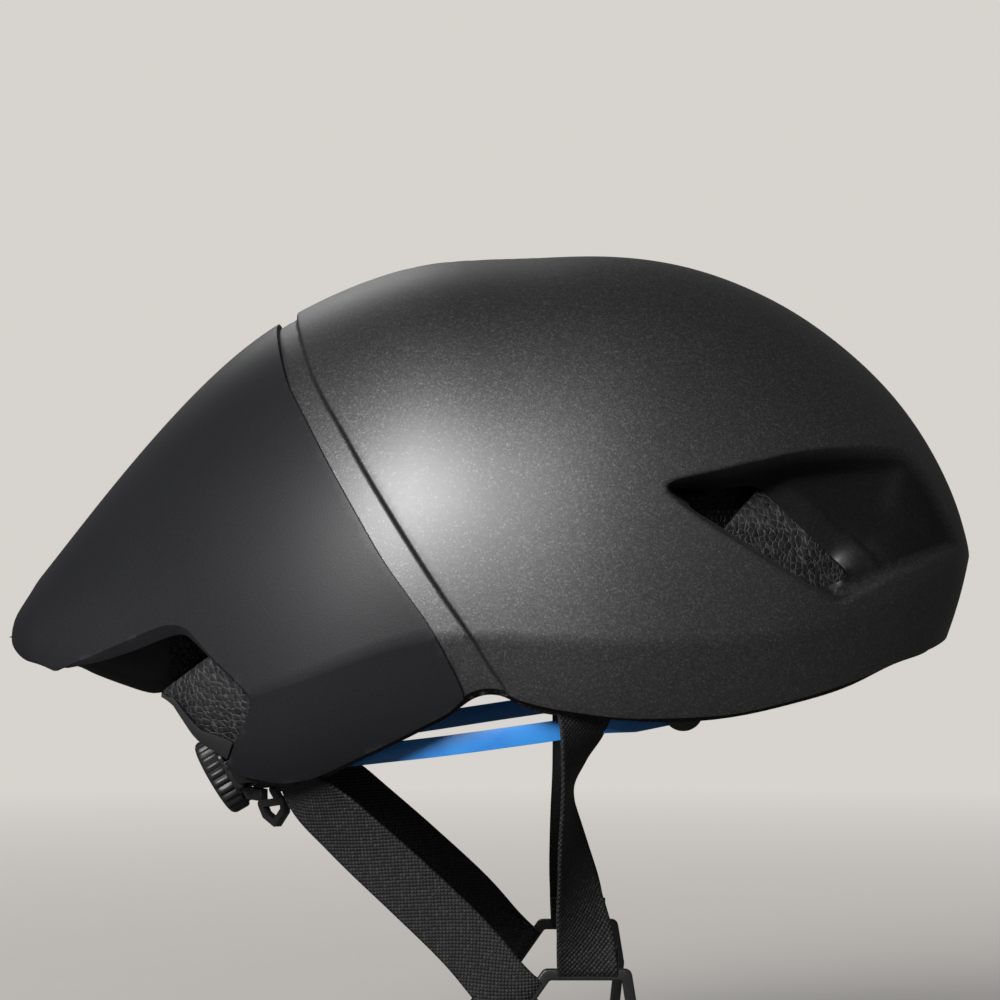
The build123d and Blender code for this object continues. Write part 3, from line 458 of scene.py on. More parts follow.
rimAt = rimLine[np.argsort(rimLine[:, 0])]
rimFront, belowAll = 138.6, -50.0


def rimHeight(x):
    return np.where(x > rimFront, belowAll, np.interp(x, rimAt[:, 0], rimAt[:, 1]))


# a line this far behind the seam
def behindSeam(amount, every, step):
    lines = [curveThrough(offsetLine(seamEdge, way * amount)[::every], step) for way in (1, -1)]
    return min(lines, key=lambda line: line[len(line) // 2, 0])


def fromCrownToRim(line):
    line = line[np.argsort(-line[:, 1])]
    _, crownAt, *_ = sectionAt(placeAt(line[:, 0]))
    return line[(line[:, 1] < crownAt - 0.02) & (line[:, 1] > rimHeight(line[:, 0]) + 0.3)]


def withoutDoubles(loop):
    return loop[np.linalg.norm(loop - np.roll(loop, 1, axis=0), axis=1) > 0.05]


def creaseChain(start, end):
    places = np.arange(start, end, 1.6)
    return np.stack([places, np.full(len(places), upperLength)], axis=1), False


print("form ready")


def newFinish(name, colour, **settings):
    finish = bpy.data.materials.new(name)
    finish.use_nodes = True
    shader = finish.node_tree.nodes["Principled BSDF"]
    shader.inputs["Base Color"].default_value = (*colour, 1)
    finish.diffuse_color = (*colour, 1)
    for socket, value in settings.items():
        shader.inputs[socket.replace("_", " ")].default_value = value
    return finish


def addNode(finish, kind, joins=None, **settings):
    node = finish.node_tree.nodes.new("ShaderNode" + kind)
    for key, value in settings.items():
        setattr(node, key, value)
    for key, value in (joins or {}).items():
        if isinstance(value, bpy.types.NodeSocket):
            finish.node_tree.links.new(value, node.inputs[key])
        else:
            node.inputs[key].default_value = value
    return node


def intoShader(finish, **values):
    shader = finish.node_tree.nodes["Principled BSDF"]
    for socket, value in values.items():
        finish.node_tree.links.new(value, shader.inputs[socket.replace("_", " ")])


def objectPlace(finish):
    return addNode(finish, "TexCoord").outputs["Object"]


def attribute(finish, name):
    return addNode(finish, "Attribute", attribute_name=name).outputs["Fac"]


def noise(finish, place, scale, detail=2.0, roughness=0.5):
    joins = {"Vector": place, "Scale": scale, "Detail": detail, "Roughness": roughness}
    return addNode(finish, "TexNoise", joins).outputs["Fac"]


def cells(finish, place, scale, randomness=1.0, **settings):
    joins = {"Vector": place, "Scale": scale, "Randomness": randomness}
    return addNode(finish, "TexVoronoi", joins, **settings).outputs


def channel(finish, colour, which):
    return addNode(finish, "SeparateColor", {0: colour}).outputs[which]


def mapped(finish, place, **settings):
    return addNode(finish, "Mapping", {"Vector": place, **settings}).outputs[0]


def scaled(finish, vector, share):
    return addNode(finish, "VectorMath", {0: vector, "Scale": share}, operation="SCALE").outputs[0]


def ramp(finish, value, stops):
    node = addNode(finish, "ValToRGB", {"Fac": value})
    band = node.color_ramp
    while len(band.elements) < len(stops):
        band.elements.new(0.5)
    for element, (place, grey) in zip(band.elements, stops):
        element.position = place
        element.color = (grey, grey, grey, 1) if isinstance(grey, float) else (*grey, 1)
    return node.outputs["Color"]


def spread(finish, value, low, high, fromLow=0.0, fromHigh=1.0):
    joins = {"Value": value, "From Min": fromLow, "From Max": fromHigh, "To Min": low, "To Max": high}
    return addNode(finish, "MapRange", joins).outputs["Result"]


def maths(finish, operation, a, b=0.0):
    return addNode(finish, "Math", {0: a, 1: b}, operation=operation).outputs[0]


def mixed(finish, share, first, second):
    first, second = [(*c, 1) if isinstance(c, tuple) else c for c in (first, second)]
    return addNode(finish, "Mix", {0: share, 6: first, 7: second}, data_type="RGBA").outputs[2]


def raised(finish, height, distance, strength=1.0, under=None):
    joins = {"Height": height, "Distance": distance, "Strength": strength}
    if under is not None:
        joins["Normal"] = under
    return addNode(finish, "Bump", joins).outputs["Normal"]


def edgeWear(finish, place, amount=1.0):
    worn = spread(finish, noise(finish, place, 140, 4, 0.65), 0, 1, 0.52, 0.70)
    return maths(finish, "MULTIPLY", maths(finish, "MULTIPLY", attribute(finish, "edgeNear"), worn), amount)


shellPaint = {
    "flakeScale": 2300.0,
    "flakeTones": [
        (0.0, (0.100, 0.100, 0.101)), (0.60, (0.116, 0.116, 0.117)),
        (0.92, (0.140, 0.140, 0.142)), (1.0, (0.185, 0.185, 0.187)),
    ],
    "worn": (0.17, 0.17, 0.175),
    "wear": 0.55,
    # colour of the painted shade in the scoop's recess
    "recess": (0.026, 0.026, 0.027),
    "roughness": (0.47, 0.54),
    "peelScale": 420,
    "peelHeight": 0.00003,
    "flakeHeight": 0.000006,
}


def makeShellPaint():
    paint = newFinish("shellPaint", (0.062, 0.063, 0.067), Metallic=1.0, IOR=1.5)
    place = objectPlace(paint)
    flake = channel(paint, cells(paint, place, shellPaint["flakeScale"])["Color"], 0)
    sparkle = ramp(paint, flake, shellPaint["flakeTones"])
    tone = mixed(paint, edgeWear(paint, place, shellPaint["wear"]), sparkle, shellPaint["worn"])
    # painted shade: the paint darkens towards the depth of the scoop's recess
    tone = mixed(paint, attribute(paint, "recessShade"), tone, shellPaint["recess"])
    cloudy = spread(paint, noise(paint, place, 34, 4), -0.025, 0.025)
    peel = noise(paint, place, shellPaint["peelScale"], 3, 0.55)
    peel = raised(paint, peel, shellPaint["peelHeight"], 0.5)
    intoShader(
        paint,
        Base_Color=scaled(paint, tone, spread(paint, noise(paint, place, 9, 3), 0.93, 1.07)),
        Roughness=maths(paint, "ADD", spread(paint, flake, *shellPaint["roughness"]), cloudy),
        Normal=raised(paint, flake, shellPaint["flakeHeight"], 0.7, peel),
    )
    return paint


def makeMattePlastic(name, colour, roughness, grain, scale, wear, light=None, shine=0.5):
    plastic = newFinish(name, colour, IOR=1.47, Specular_IOR_Level=shine)
    place = objectPlace(plastic)
    speck = noise(plastic, place, scale, 3, 0.6)
    broad = noise(plastic, place, 16, 4, 0.55)
    light = light or tuple(min(1.0, c * 2.6 + 0.02) for c in colour)
    cloudTone = tuple(c * 1.55 + 0.001 for c in colour)
    speckTone = tuple(c * 1.9 + 0.004 for c in colour)
    base = mixed(plastic, spread(plastic, broad, 0.0, 0.30, 0.35, 0.75), colour, cloudTone)
    base = mixed(plastic, spread(plastic, speck, 0.0, 0.28, 0.45, 0.8), base, speckTone)
    fine = spread(plastic, speck, roughness - 0.07, roughness + 0.07)
    intoShader(
        plastic,
        Base_Color=mixed(plastic, edgeWear(plastic, place, wear), base, light),
        Roughness=maths(plastic, "ADD", fine, spread(plastic, broad, -0.03, 0.03)),
        Normal=raised(plastic, speck, grain, 0.75),
    )
    return plastic


foamLook = {
    "beadScale": 470.0,
    "beadRandomness": 0.6,
    "wobble": 0.0007,
    "beads": ((0.006, 0.0062, 0.0068), (0.015, 0.0154, 0.0165)),
    "line": (0.056, 0.056, 0.057),
    "lineWidth": [(0.0, 1.0), (0.06, 0.78), (0.14, 0.14), (0.23, 0.0)],
    "edge": (0.007, 0.007, 0.0075),
    # colour of the painted shade in the scoop's deep pocket
    "duct": (0.0015, 0.0015, 0.0016),
    "beadHeight": 0.00032,
    "poreHeight": 0.00005,
}


def makeFoam():
    foam = newFinish("linerFoam", (0.028, 0.029, 0.031), IOR=1.4)
    place = objectPlace(foam)
    wobble = addNode(foam, "TexNoise", {"Vector": place, "Scale": 260.0, "Detail": 2.0}).outputs["Color"]
    offset = scaled(foam, wobble, foamLook["wobble"])
    bent = addNode(foam, "VectorMath", {0: place, 1: offset}, operation="ADD").outputs[0]
    pattern = (foam, bent, foamLook["beadScale"], foamLook["beadRandomness"])
    gap = cells(*pattern, feature="DISTANCE_TO_EDGE")["Distance"]
    bead = mixed(foam, channel(foam, cells(*pattern)["Color"], 1), *foamLook["beads"])
    patchy = spread(foam, noise(foam, place, 520, 2), 0.10, 1.0, 0.42, 0.62)
    line = maths(foam, "MULTIPLY", ramp(foam, gap, foamLook["lineWidth"]), patchy)
    tone = mixed(foam, line, bead, foamLook["line"])
    lip = spread(foam, attribute(foam, "edgeNear"), 0.0, 0.92, 0.0, 0.55)
    tone = mixed(foam, lip, tone, foamLook["edge"])
    swell = ramp(foam, gap, [(0.0, 0.0), (0.10, 0.62), (0.24, 0.92), (0.5, 1.0)])
    pores = raised(foam, noise(foam, place, 2600, 2), foamLook["poreHeight"], 0.5)
    intoShader(
        foam,
        # painted shade: the foam in the scoop's pocket is painted nearly black
        Base_Color=mixed(foam, attribute(foam, "ductShade"), tone, foamLook["duct"]),
        Roughness=spread(foam, noise(foam, place, 900, 2), 0.48, 0.72),
        Normal=raised(foam, swell, foamLook["beadHeight"], 0.9, pores),
    )
    return foam


def makeBandPlastic():
    glow = {"Subsurface_Weight": 0.12, "Subsurface_Scale": 0.002}
    nylon = newFinish("bandPlastic", (0.03, 0.25, 0.70), IOR=1.5, **glow)
    place = objectPlace(nylon)
    flow = spread(nylon, noise(nylon, place, 60, 4, 0.6), 0, 1, 0.3, 0.75)
    blue = mixed(nylon, flow, (0.020, 0.190, 0.58), (0.040, 0.275, 0.72))
    # the toothed end is moulded in black
    along = addNode(nylon, "SeparateXYZ", {0: place}).outputs["X"]
    toothed = spread(nylon, along, 1, 0, -0.0935, -0.0930)
    grain = noise(nylon, place, 1500, 3, 0.6)
    intoShader(
        nylon,
        Base_Color=mixed(nylon, toothed, blue, (0.010, 0.010, 0.011)),
        Roughness=spread(nylon, grain, 0.30, 0.46),
        Normal=raised(nylon, grain, 0.00004, 0.6),
    )
    return nylon


def makeSteel():
    steel = newFinish("screwSteel", (0.48, 0.48, 0.50), Metallic=1.0)
    brush = noise(steel, mapped(steel, objectPlace(steel), Scale=(1.0, 14.0, 1.0)), 900, 3, 0.6)
    intoShader(
        steel,
        Base_Color=mixed(steel, brush, (0.40, 0.40, 0.42), (0.58, 0.58, 0.60)),
        Roughness=spread(steel, brush, 0.22, 0.42),
        Normal=raised(steel, brush, 0.00003, 0.5),
    )
    return steel


weaveLook = {
    "threads": ((0.003, 0.003, 0.0033), (0.036, 0.0365, 0.038)),
    "fibre": (0.009, 0.009, 0.0098),
    "between": (0.002, 0.002, 0.0022),
    "threadScale": 900.0,
    "threadHeight": 0.00030,
}


def makeWebbing():
    web = newFinish("webbing", (0.014, 0.014, 0.015), IOR=1.42, Sheen_Weight=0.04, Sheen_Roughness=0.4)
    uv = addNode(web, "UVMap", uv_map="weave").outputs[0]
    slanting = mapped(web, uv, Rotation=(0, 0, math.radians(45)))
    dots = cells(web, slanting, weaveLook["threadScale"], 0.10, voronoi_dimensions="2D")
    mound = ramp(web, dots["Distance"], [(0.0, 1.0), (0.25, 0.85), (0.48, 0.30), (0.70, 0.0)])
    fibre = noise(web, mapped(web, uv, Scale=(600.0, 5200.0, 1.0)), 1.0, 2, 0.6)
    each = maths(web, "POWER", channel(web, dots["Color"], 0), 2.4)
    thread = mixed(web, each, *weaveLook["threads"])
    thread = mixed(web, spread(web, fibre, 0.0, 0.6, 0.35, 0.7), thread, weaveLook["fibre"])
    soft = raised(web, noise(web, objectPlace(web), 260, 3), 0.00012, 0.5)
    intoShader(
        web,
        Base_Color=mixed(web, maths(web, "POWER", mound, 1.6), weaveLook["between"], thread),
        Roughness=spread(web, fibre, 0.52, 0.78),
        Normal=raised(web, mound, weaveLook["threadHeight"], 1.0, raised(web, fibre, 0.00006, 0.7, soft)),
    )
    return web


def makePadFabric():
    fabric = newFinish("padFabric", (0.020, 0.020, 0.022), IOR=1.4, Sheen_Weight=0.5, Sheen_Roughness=0.5)
    place = objectPlace(fabric)
    knit = cells(fabric, place, 1250.0, 0.45)
    loops = ramp(fabric, knit["Distance"], [(0.0, 1.0), (0.35, 0.7), (0.75, 0.0)])
    shade = mixed(fabric, channel(fabric, knit["Color"], 2), (0.016, 0.016, 0.018), (0.046, 0.046, 0.050))
    nap = raised(fabric, noise(fabric, place, 300, 4, 0.6), 0.0003, 0.5)
    intoShader(
        fabric,
        Base_Color=mixed(fabric, loops, (0.007, 0.007, 0.008), shade),
        Roughness=spread(fabric, noise(fabric, place, 120, 3), 0.72, 0.92),
        Normal=raised(fabric, loops, 0.00030, 0.9, nap),
    )
    return fabric


# name, colour, roughness, height and scale of the grain, wear at the edges, worn colour, shine
plastics = {
    "tail": ("tailPlastic", (0.0095, 0.0097, 0.0115), 0.47, 0.00004, 2100.0, 0.45, (0.06, 0.06, 0.065), 0.38),
    "trim": ("trimPlastic", (0.024, 0.024, 0.026), 0.55, 0.00006, 1500.0, 0.5),
    "fitting": ("fittingPlastic", (0.011, 0.011, 0.012), 0.36, 0.00003, 1300.0, 0.6),
    "knob": ("knobPlastic", (0.014, 0.014, 0.015), 0.42, 0.00005, 1700.0, 0.6),
    "rubber": ("keeperRubber", (0.016, 0.016, 0.017), 0.68, 0.00006, 900.0, 0.3),
}
finishes = {
    "shell": makeShellPaint(),
    "foam": makeFoam(),
    "band": makeBandPlastic(),
    "steel": makeSteel(),
    "webbing": makeWebbing(),
    "fabric": makePadFabric(),
    **{key: makeMattePlastic(*look) for key, look in plastics.items()},
}
slotFinish = {
    "shell_paint": "shell", "tail_plastic": "tail", "trim_plastic": "trim", "liner_foam": "foam",
    "pad_fabric": "fabric", "fitting_plastic": "fitting", "knob_plastic": "knob", "screw_steel": "steel",
    "band_plastic": "band", "webbing": "webbing", "keeper_rubber": "rubber",
}


def dress(piece, finishName):
    finish = finishes[finishName]
    if not piece.material_slots:
        piece.data.materials.append(finish)
    for held in piece.material_slots:
        held.material = finish


def seat(piece, body, nodeName, finishName):
    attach(piece, body)
    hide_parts(nodeName)
    dress(piece, finishName)


# lets the paint and the foam know how near an edge is
def markEdges(piece, lines, reach):
    side = vertexPlaces(piece)[:, [0, 2]]
    near = np.zeros(len(side))
    for line, closed in lines:
        d, _, _ = distanceTo(side, line[::2], closed)
        near = np.maximum(near, np.clip(1 - d / reach, 0, 1))
    markValues(piece, "edgeNear", near)


nodeSlots = {name: node.material_slots[0].material.name for name, node in nodes.items()}
for name, slotName in nodeSlots.items():
    for known, finishName in slotFinish.items():
        if known in slotName:
            dress(nodes[name], finishName)


shell = {
    "wall": 2.6,
    "grid": 2.1,
    "fineGrid": 1.15,
    "rimEdge": 0.5,
    "bandStep": 1.85,
    "bandUnderTail": 8.0,
    "recessDepth": 1.7,
    "scoopLean": math.tan(math.radians(14)),
    "scoopTurn": math.tan(math.radians(27)),
    "floorPlace": (100.0, 55.5, 60.0),
    "ridgeDepth": 2.0,
    "chamferSlope": 0.55,
    # how strongly and over what reach the scoop's recess gets painted shade
    "recessShade": 0.85,
    "shadeReach": 4.5,
    "ridgeRound": 2.2,
    "edgeLip": 0.34,
    "lipReach": 1.3,
    # x from and to, z from and to: the part of the side view that the scoop lies in
    "scoopZone": (34.0, 146.0, 28.0, 92.0),
    "scoopMargin": 3.0,
    "scoopRings": (1.3, 0.6, -0.35, -0.75, -1.2, -1.7, -2.4, -3.4),
    # the step down to the rear band: where it starts, how long it is, how high the line runs
    "bandStepFrom": 0.55,
    "bandStepOver": 1.5,
    "bandRings": (0.9, 0.3, -0.4, -0.9, -1.6),
    "bandTop": 132.0,
    # the crown's sunk panel: its reach, the width of its edge at the rear and what that gains forward
    "recessFront": 84.0,
    "recessRear": -60.0,
    "recessHalf": 30.0,
    "recessEdge": (1.5, 3.0),
    "recessFade": 50.0,
    "recessRings": (-0.6, 0.2, 1.0, 1.9, 2.8),
    "smoothing": 18,
    "smoothFrom": 104.0,
    "rampFoot": (96.5, 66.0),
}
# the side scoop's outline, starting at its rear tip and going over the top; the last number is how
# steep its wall is there
scoopKnots = [
    (39.2, 72.2, 4.0), (41.5, 74.2, 2.2), (46.5, 75.6, 2.0), (57.0, 77.9, 1.8), (69.5, 80.8, 1.7),
    (83.0, 83.8, 1.6), (100.0, 85.5, 1.4), (110.9, 85.5, 1.2), (118.5, 85.0, 0.9), (122.5, 83.0, 0.7),
    (126.2, 79.2, 0.6), (131.5, 71.3, 0.5), (136.6, 61.8, 0.5), (139.4, 54.6, 0.5), (138.4, 52.0, 0.5),
    (132.0, 49.6, 0.55), (116.4, 44.2, 0.8), (103.5, 38.4, 1.15), (96.0, 35.2, 1.6), (92.4, 36.0, 3.0),
    (85.2, 40.2, 7.0), (68.7, 50.6, 7.0), (55.9, 58.6, 7.0), (47.0, 64.6, 7.0), (41.0, 69.4, 6.0),
]
scoopLoop = curveThrough(scoopKnots, 0.9, closed=True)
scoopLine, scoopSteep = scoopLoop[:, :2], scoopLoop[:, 2]
panelEdge = curveThrough(
    [
        (70.0, 86.0), (76.5, 78.2), (82.5, 71.8), (98.5, 57.6), (106.0, 50.8), (109.2, 46.8), (108.6, 42.8),
        (103.0, 36.0), (100.0, 30.0),
    ],
    0.9,
)
ventLoop = curveThrough(
    [
        (46.6, 66.6), (51.5, 69.6), (58.5, 71.6), (65.5, 72.5), (69.6, 71.8), (74.5, 67.9), (85.5, 57.7),
        (94.0, 49.8), (98.3, 45.4), (98.4, 43.5), (96.6, 42.0), (90.5, 40.0), (86.4, 40.6), (76.5, 47.0),
        (66.0, 53.6), (55.0, 60.6), (48.4, 64.6),
    ],
    0.8,
    closed=True,
)

planRecess = curveThrough(
    [
        (-52.5, 0.0), (-51.0, 9.0), (-46.0, 17.5), (-36.0, 21.5), (0.0, 19.3), (39.0, 14.2), (66.0, 8.0),
        (76.0, 0.0),
    ],
    1.2,
)


def scoopFloor(x, z):
    x0, half, z0 = shell["floorPlace"]
    return half + (x0 - x) * shell["scoopTurn"] + (z0 - z) * shell["scoopLean"]


def softMin(a, b, width):
    return 0.5 * (a + b - np.sqrt((a - b) ** 2 + width**2))


def inScoopZone(side):
    x0, x1, z0, z1 = shell["scoopZone"]
    return (side[:, 0] > x0) & (side[:, 0] < x1) & (side[:, 1] > z0) & (side[:, 1] < z1)


# how far the shell's face is pushed in along y, by place in the side view
def scoopDrop(side, halfY):
    drop = np.zeros(len(side))
    near = inScoopZone(side)
    pts = side[near]
    d, place, _ = distanceTo(pts, scoopLine, closed=True)
    isIn = inside(pts, scoopLine)
    steep = np.interp(place, np.arange(len(scoopSteep) + 1), np.append(scoopSteep, scoopSteep[0]))
    depth = halfY[near] - scoopFloor(pts[:, 0], pts[:, 1])
    depth = 0.5 * (depth + np.sqrt(depth**2 + 4.0))
    dPanel, _, sidePanel = distanceTo(pts, panelEdge)
    behindPanel = np.where(sidePanel < 0, dPanel, 0)
    ridgeRound = shell["ridgeRound"]
    chamfer = shell["chamferSlope"] * (np.sqrt(behindPanel**2 + ridgeRound**2) - ridgeRound)
    depth = np.maximum(depth, shell["ridgeDepth"]) + np.where(isIn, chamfer, 0)
    pushed = np.maximum(softMin(steep * np.where(isIn, d, 0), depth, 1.0), 0)
    lip = np.minimum(shell["edgeLip"], 0.05 * depth + 0.1)
    outer = lip * np.clip(1 - d / shell["lipReach"], 0, 1) ** 2
    drop[near] = np.where(isIn, lip + pushed, outer)
    return drop


# how far the rear band and the crown's panel are sunk
def bandDrop(side, plan):
    d, _, sign = distanceTo(side, domeEdge)
    ahead = d * np.where(sign > 0, 1, -1)
    step = shell["bandStep"] * eased(np.clip((shell["bandStepFrom"] - ahead) / shell["bandStepOver"], 0, 1))
    front, rear, narrow, gain = shell["recessFront"], shell["recessRear"], *shell["recessEdge"]
    top = (plan[:, 1] < shell["recessHalf"]) & (plan[:, 0] > rear) & (plan[:, 0] < front)
    loop = np.vstack([planRecess, mirrored(planRecess)[::-1][1:-1]])
    flat = plan[top]
    d, _, _ = distanceTo(flat, loop, closed=True)
    d = np.where(inside(flat, loop), d, -d)
    edgeWidth = narrow + gain * np.clip((flat[:, 0] - rear) / 134, 0, 1)
    fade = np.clip((front - flat[:, 0]) / shell["recessFade"], 0, 1) ** 0.6
    recess = np.zeros(len(side))
    recess[top] = shell["recessDepth"] * eased(np.clip((d + 0.4) / edgeWidth, 0, 1)) * fade
    return step + recess


# the outline of the shell's right half in the unrolled form: crown, nose, rim and rear line
def borderLoop(rearLine, step=1.5):
    noseU = ringPlace[0]
    rear = fromCrownToRim(rearLine)
    topX = rear[0, 0] + (rear[0, 0] - rear[1, 0]) / max(rear[0, 1] - rear[1, 1], 0.1)
    bottomX = rear[-1, 0] + (rear[-1, 0] - rear[-2, 0]) * 0.3
    crown = [(u, 0.0) for u in np.arange(placeAt(topX), noseU, step)] + [(noseU, 0.0)]
    nose = [(noseU, m) for m in np.arange(6.0, upperLength + lowerLength, 6.0)]
    xs = sectionAt(np.arange(noseU, placeAt(bottomX), -step))[0]
    rim = toDomain(np.stack([xs, rimHeight(xs)], axis=1))
    bottom = toDomain(np.array([[bottomX, float(rimHeight(bottomX))]]))
    return withoutDoubles(np.vstack([crown, nose, rim, bottom, toDomain(rear)[::-1]]))


shellBorder = borderLoop(behindSeam(shell["bandUnderTail"], 6, 1.6))


# lines beside an outline, without the points where they would fold over themselves
def ringsRound(line, amounts, closed=False):
    rings = []
    for amount in amounts:
        ring = offsetLine(line, amount, closed)
        d, _, _ = distanceTo(ring, line, closed)
        rings.append(ring[d > abs(amount) * 0.85])
    return rings


# smooths the scoop's floor, ahead of the foam and at the ramp's foot
def relaxScoop(placed, side, faces):
    d, _, _ = distanceTo(side, scoopLine, closed=True)
    ahead = np.clip((side[:, 0] - shell["smoothFrom"]) / 10, 0, 1)
    footX, footZ = shell["rampFoot"]
    foot = np.clip(1.6 - np.abs(side[:, 0] - footX) / 6, 0, 1) * np.clip((footZ - side[:, 1]) / 7, 0, 1)
    share = np.clip((d - 0.9) / 2.0, 0, 1) * np.maximum(ahead, foot) * inside(side, scoopLine)
    edges = np.vstack([faces[:, [0, 1]], faces[:, [1, 2]], faces[:, [2, 0]]])
    edges = edges[(share[edges] > 0).any(axis=1)]
    for _ in range(shell["smoothing"]):
        total, count = np.zeros(len(placed)), np.zeros(len(placed))
        for a, b in ((0, 1), (1, 0)):
            np.add.at(total, edges[:, a], placed[edges[:, b], 1])
            np.add.at(count, edges[:, a], 1)
        mean = np.where(count > 0, total / np.maximum(count, 1), placed[:, 1])
        placed[:, 1] += share * 0.7 * (mean - placed[:, 1])


def atScoop(gridded):
    us, ms = np.array([place for place, _ in gridded]).T
    sides = formPoint(us, ms)[:, [0, 2]]
    d, _, _ = distanceTo(sides, scoopLine[::3], True)
    return inside(sides, scoopLine) | (d < shell["scoopMargin"])


def makeFrontShell():
    chains = [(shellBorder, True)]
    lines = [scoopLine] + ringsRound(scoopLine, shell["scoopRings"], True)
    chains += [(toDomain(line), True) for line in lines]
    lines = [domeEdge] + ringsRound(domeEdge, shell["bandRings"])
    chains += [(toDomain(line[line[:, 1] < shell["bandTop"]]), False) for line in lines]
    chains.append((toDomain(panelEdge[(panelEdge[:, 1] < 80) & (panelEdge[:, 1] > 38)]), False))
    chains.append((toDomain(ventLoop), True))
    for amount in shell["recessRings"]:
        ring = offsetLine(planRecess, -amount)
        chains.append((planToDomain(ring[ring[:, 1] >= 0]), False))
    noseU = ringPlace[0]
    chains.append(creaseChain(ringPlace[-1] + 90, noseU - 1))
    free = gridPoints(shellBorder[:, 0].min(), noseU, 0, upperLength + lowerLength, shell["grid"])
    fine = gridPoints(placeAt(shell["scoopZone"][0]), noseU, 60.0, upperLength + 26, shell["fineGrid"])
    fine = [p for p, near in zip(fine, atScoop(fine)) if near]
    free = [p for p, near in zip(free, atScoop(free)) if not near]
    net, faces = weave(free + fine, chains, shellBorder, [toDomain(ventLoop)])
    points = formPoint(*net.T)
    side, plan = points[:, [0, 2]], np.abs(points[:, [0, 1]])
    placed = points - formNormal(*net.T) * bandDrop(side, plan)[:, None]
    placed[:, 1] += scoopDrop(side, np.abs(points[:, 1]))
    relaxScoop(placed, side, faces)
    piece = mirroredSheet("frontShell", placed, faces)
    thicken(piece, shell["wall"], shell["rimEdge"])
    smoothByAngle(piece, 50)
    return piece


# painted shade: the paint is darkened in the depth of the scoop, where the recess lies in shade
def markPaintedRecessShade(piece):
    side = vertexPlaces(piece)[:, [0, 2]]
    shade = np.zeros(len(side))
    near = inScoopZone(side)
    d, _, _ = distanceTo(side[near], scoopLine, closed=True)
    deep = np.clip((d - 0.3) / shell["shadeReach"], 0, 1) * inside(side[near], scoopLine)
    shade[near] = deep * shell["recessShade"]
    markValues(piece, "recessShade", shade)


frontShell = makeFrontShell()
seat(frontShell, "helmet", "front_shell", "shell")
markEdges(frontShell, [(domeEdge, False), (rimLine, False), (scoopLine, True)], 1.3)
markPaintedRecessShade(frontShell)
print("front shell", len(frontShell.data.polygons))


tail = {
    "wall": 1.9,
    "grid": 2.1,
    "edge": 0.45,
    "seamGap": 0.6,
    "lipSlope": 0.95,
    "portEnd": -157.5,
    "frontLap": 90,
    "tipTuck": 34.0,
    "tipBlend": 0.45,
    # behind this place the tip is pressed together, and from the second one it is closed
    "tipStart": -0.170,
    "tipShare": 0.74,
    "tipClosed": -0.1800,
}
# the port's outline from the rim over the opening to the tail; the last number is the rolled lip's width
portLoop = curveThrough(
    [
        (-101.8, -19.6, 0.5), (-100.0, -14.6, 0.5), (-97.6, -8.6, 0.5), (-94.4, -2.0, 0.5), (-93.1, 2.2, 0.5),
        (-94.2, 6.2, 0.5), (-98.0, 10.2, 0.6), (-106.9, 18.4, 1.0), (-112.0, 23.9, 1.8),
        (-115.2, 26.6, 2.4), (-119.7, 27.7, 3.0), (-125.6, 26.3, 3.2), (-136.1, 21.8, 3.0),
        (-147.0, 17.2, 2.2), (-156.5, 13.3, 0.7),
    ],
    1.0,
)
portLine, lipWidth = portLoop[:, :2], portLoop[:, 2]


def inwardPort(share):
    way = np.gradient(portLine, axis=0)
    way /= np.linalg.norm(way, axis=1, keepdims=True)
    side = np.stack([-way[:, 1], way[:, 0]], axis=1)
    if side[len(side) // 2, 1] > 0:
        side = -side
    return portLine + side * (lipWidth * share)[:, None]


def makeTail():
    back = behindSeam(1.0, 4, 1.5)
    shift = back[len(back) // 2] - seamEdge[len(seamEdge) // 2]
    seam = fromCrownToRim(seamEdge + shift * tail["seamGap"])
    endU, uTop = ringPlace[-1], placeAt(seam[0, 0] - 0.3)
    crown = [(u, 0.0) for u in np.arange(endU, uTop, 1.6)] + [(uTop, 0.0)]
    rimX = np.arange(seam[-1, 0] + 0.2, -101.6, -1.2)
    rim = toDomain(np.stack([rimX, rimHeight(rimX)], axis=1))
    port = toDomain(inwardPort(1.0))
    uPort, mPort = port[-1]
    us = np.linspace(uPort, endU, 26)[1:]
    blend = eased(np.clip((us - uPort) / (endU - uPort) / tail["tipBlend"], 0, 1))
    tipM = mPort * (1 - blend) + (upperLength + tail["tipTuck"]) * blend
    tip = np.stack([us, tipM], axis=1)
    end = np.array([(endU, m) for m in np.arange(tipM[-1] - 8, 2, -8.0)])
    border = withoutDoubles(np.vstack([crown, toDomain(seam), rim, port, tip, end]))
    chains = [(border, True), (toDomain(portLine), False)]
    chains += [(toDomain(inwardPort(share)), False) for share in (0.25, 0.5, 0.75, -0.35, -0.9)]
    chains.append(creaseChain(endU + 2, placeAt(-30.0)))
    free = gridPoints(endU + 0.8, uTop + tail["frontLap"], 1.0, upperLength + lowerLength, tail["grid"])
    net, faces = weave(free, chains, border)
    points = formPoint(*net.T)
    side = points[:, [0, 2]]
    d, _, _ = distanceTo(side, portLine)
    opening = np.vstack([portLine, [(-175.0, -40.0), (-102.0, -60.0)]])
    lip = tail["lipSlope"] * d * (inside(side, opening) & (side[:, 0] > tail["portEnd"]))
    piece = mirroredSheet("tailFairing", points - formNormal(*net.T) * lip[:, None], faces)
    closeTip(piece)
    start = tail["tipStart"]
    for vertex in piece.data.vertices:
        if vertex.co.x < start:
            vertex.co.x = start + (vertex.co.x - start) * tail["tipShare"]
    thicken(piece, tail["wall"], tail["edge"])
    smoothByAngle(piece, 40)
    return piece


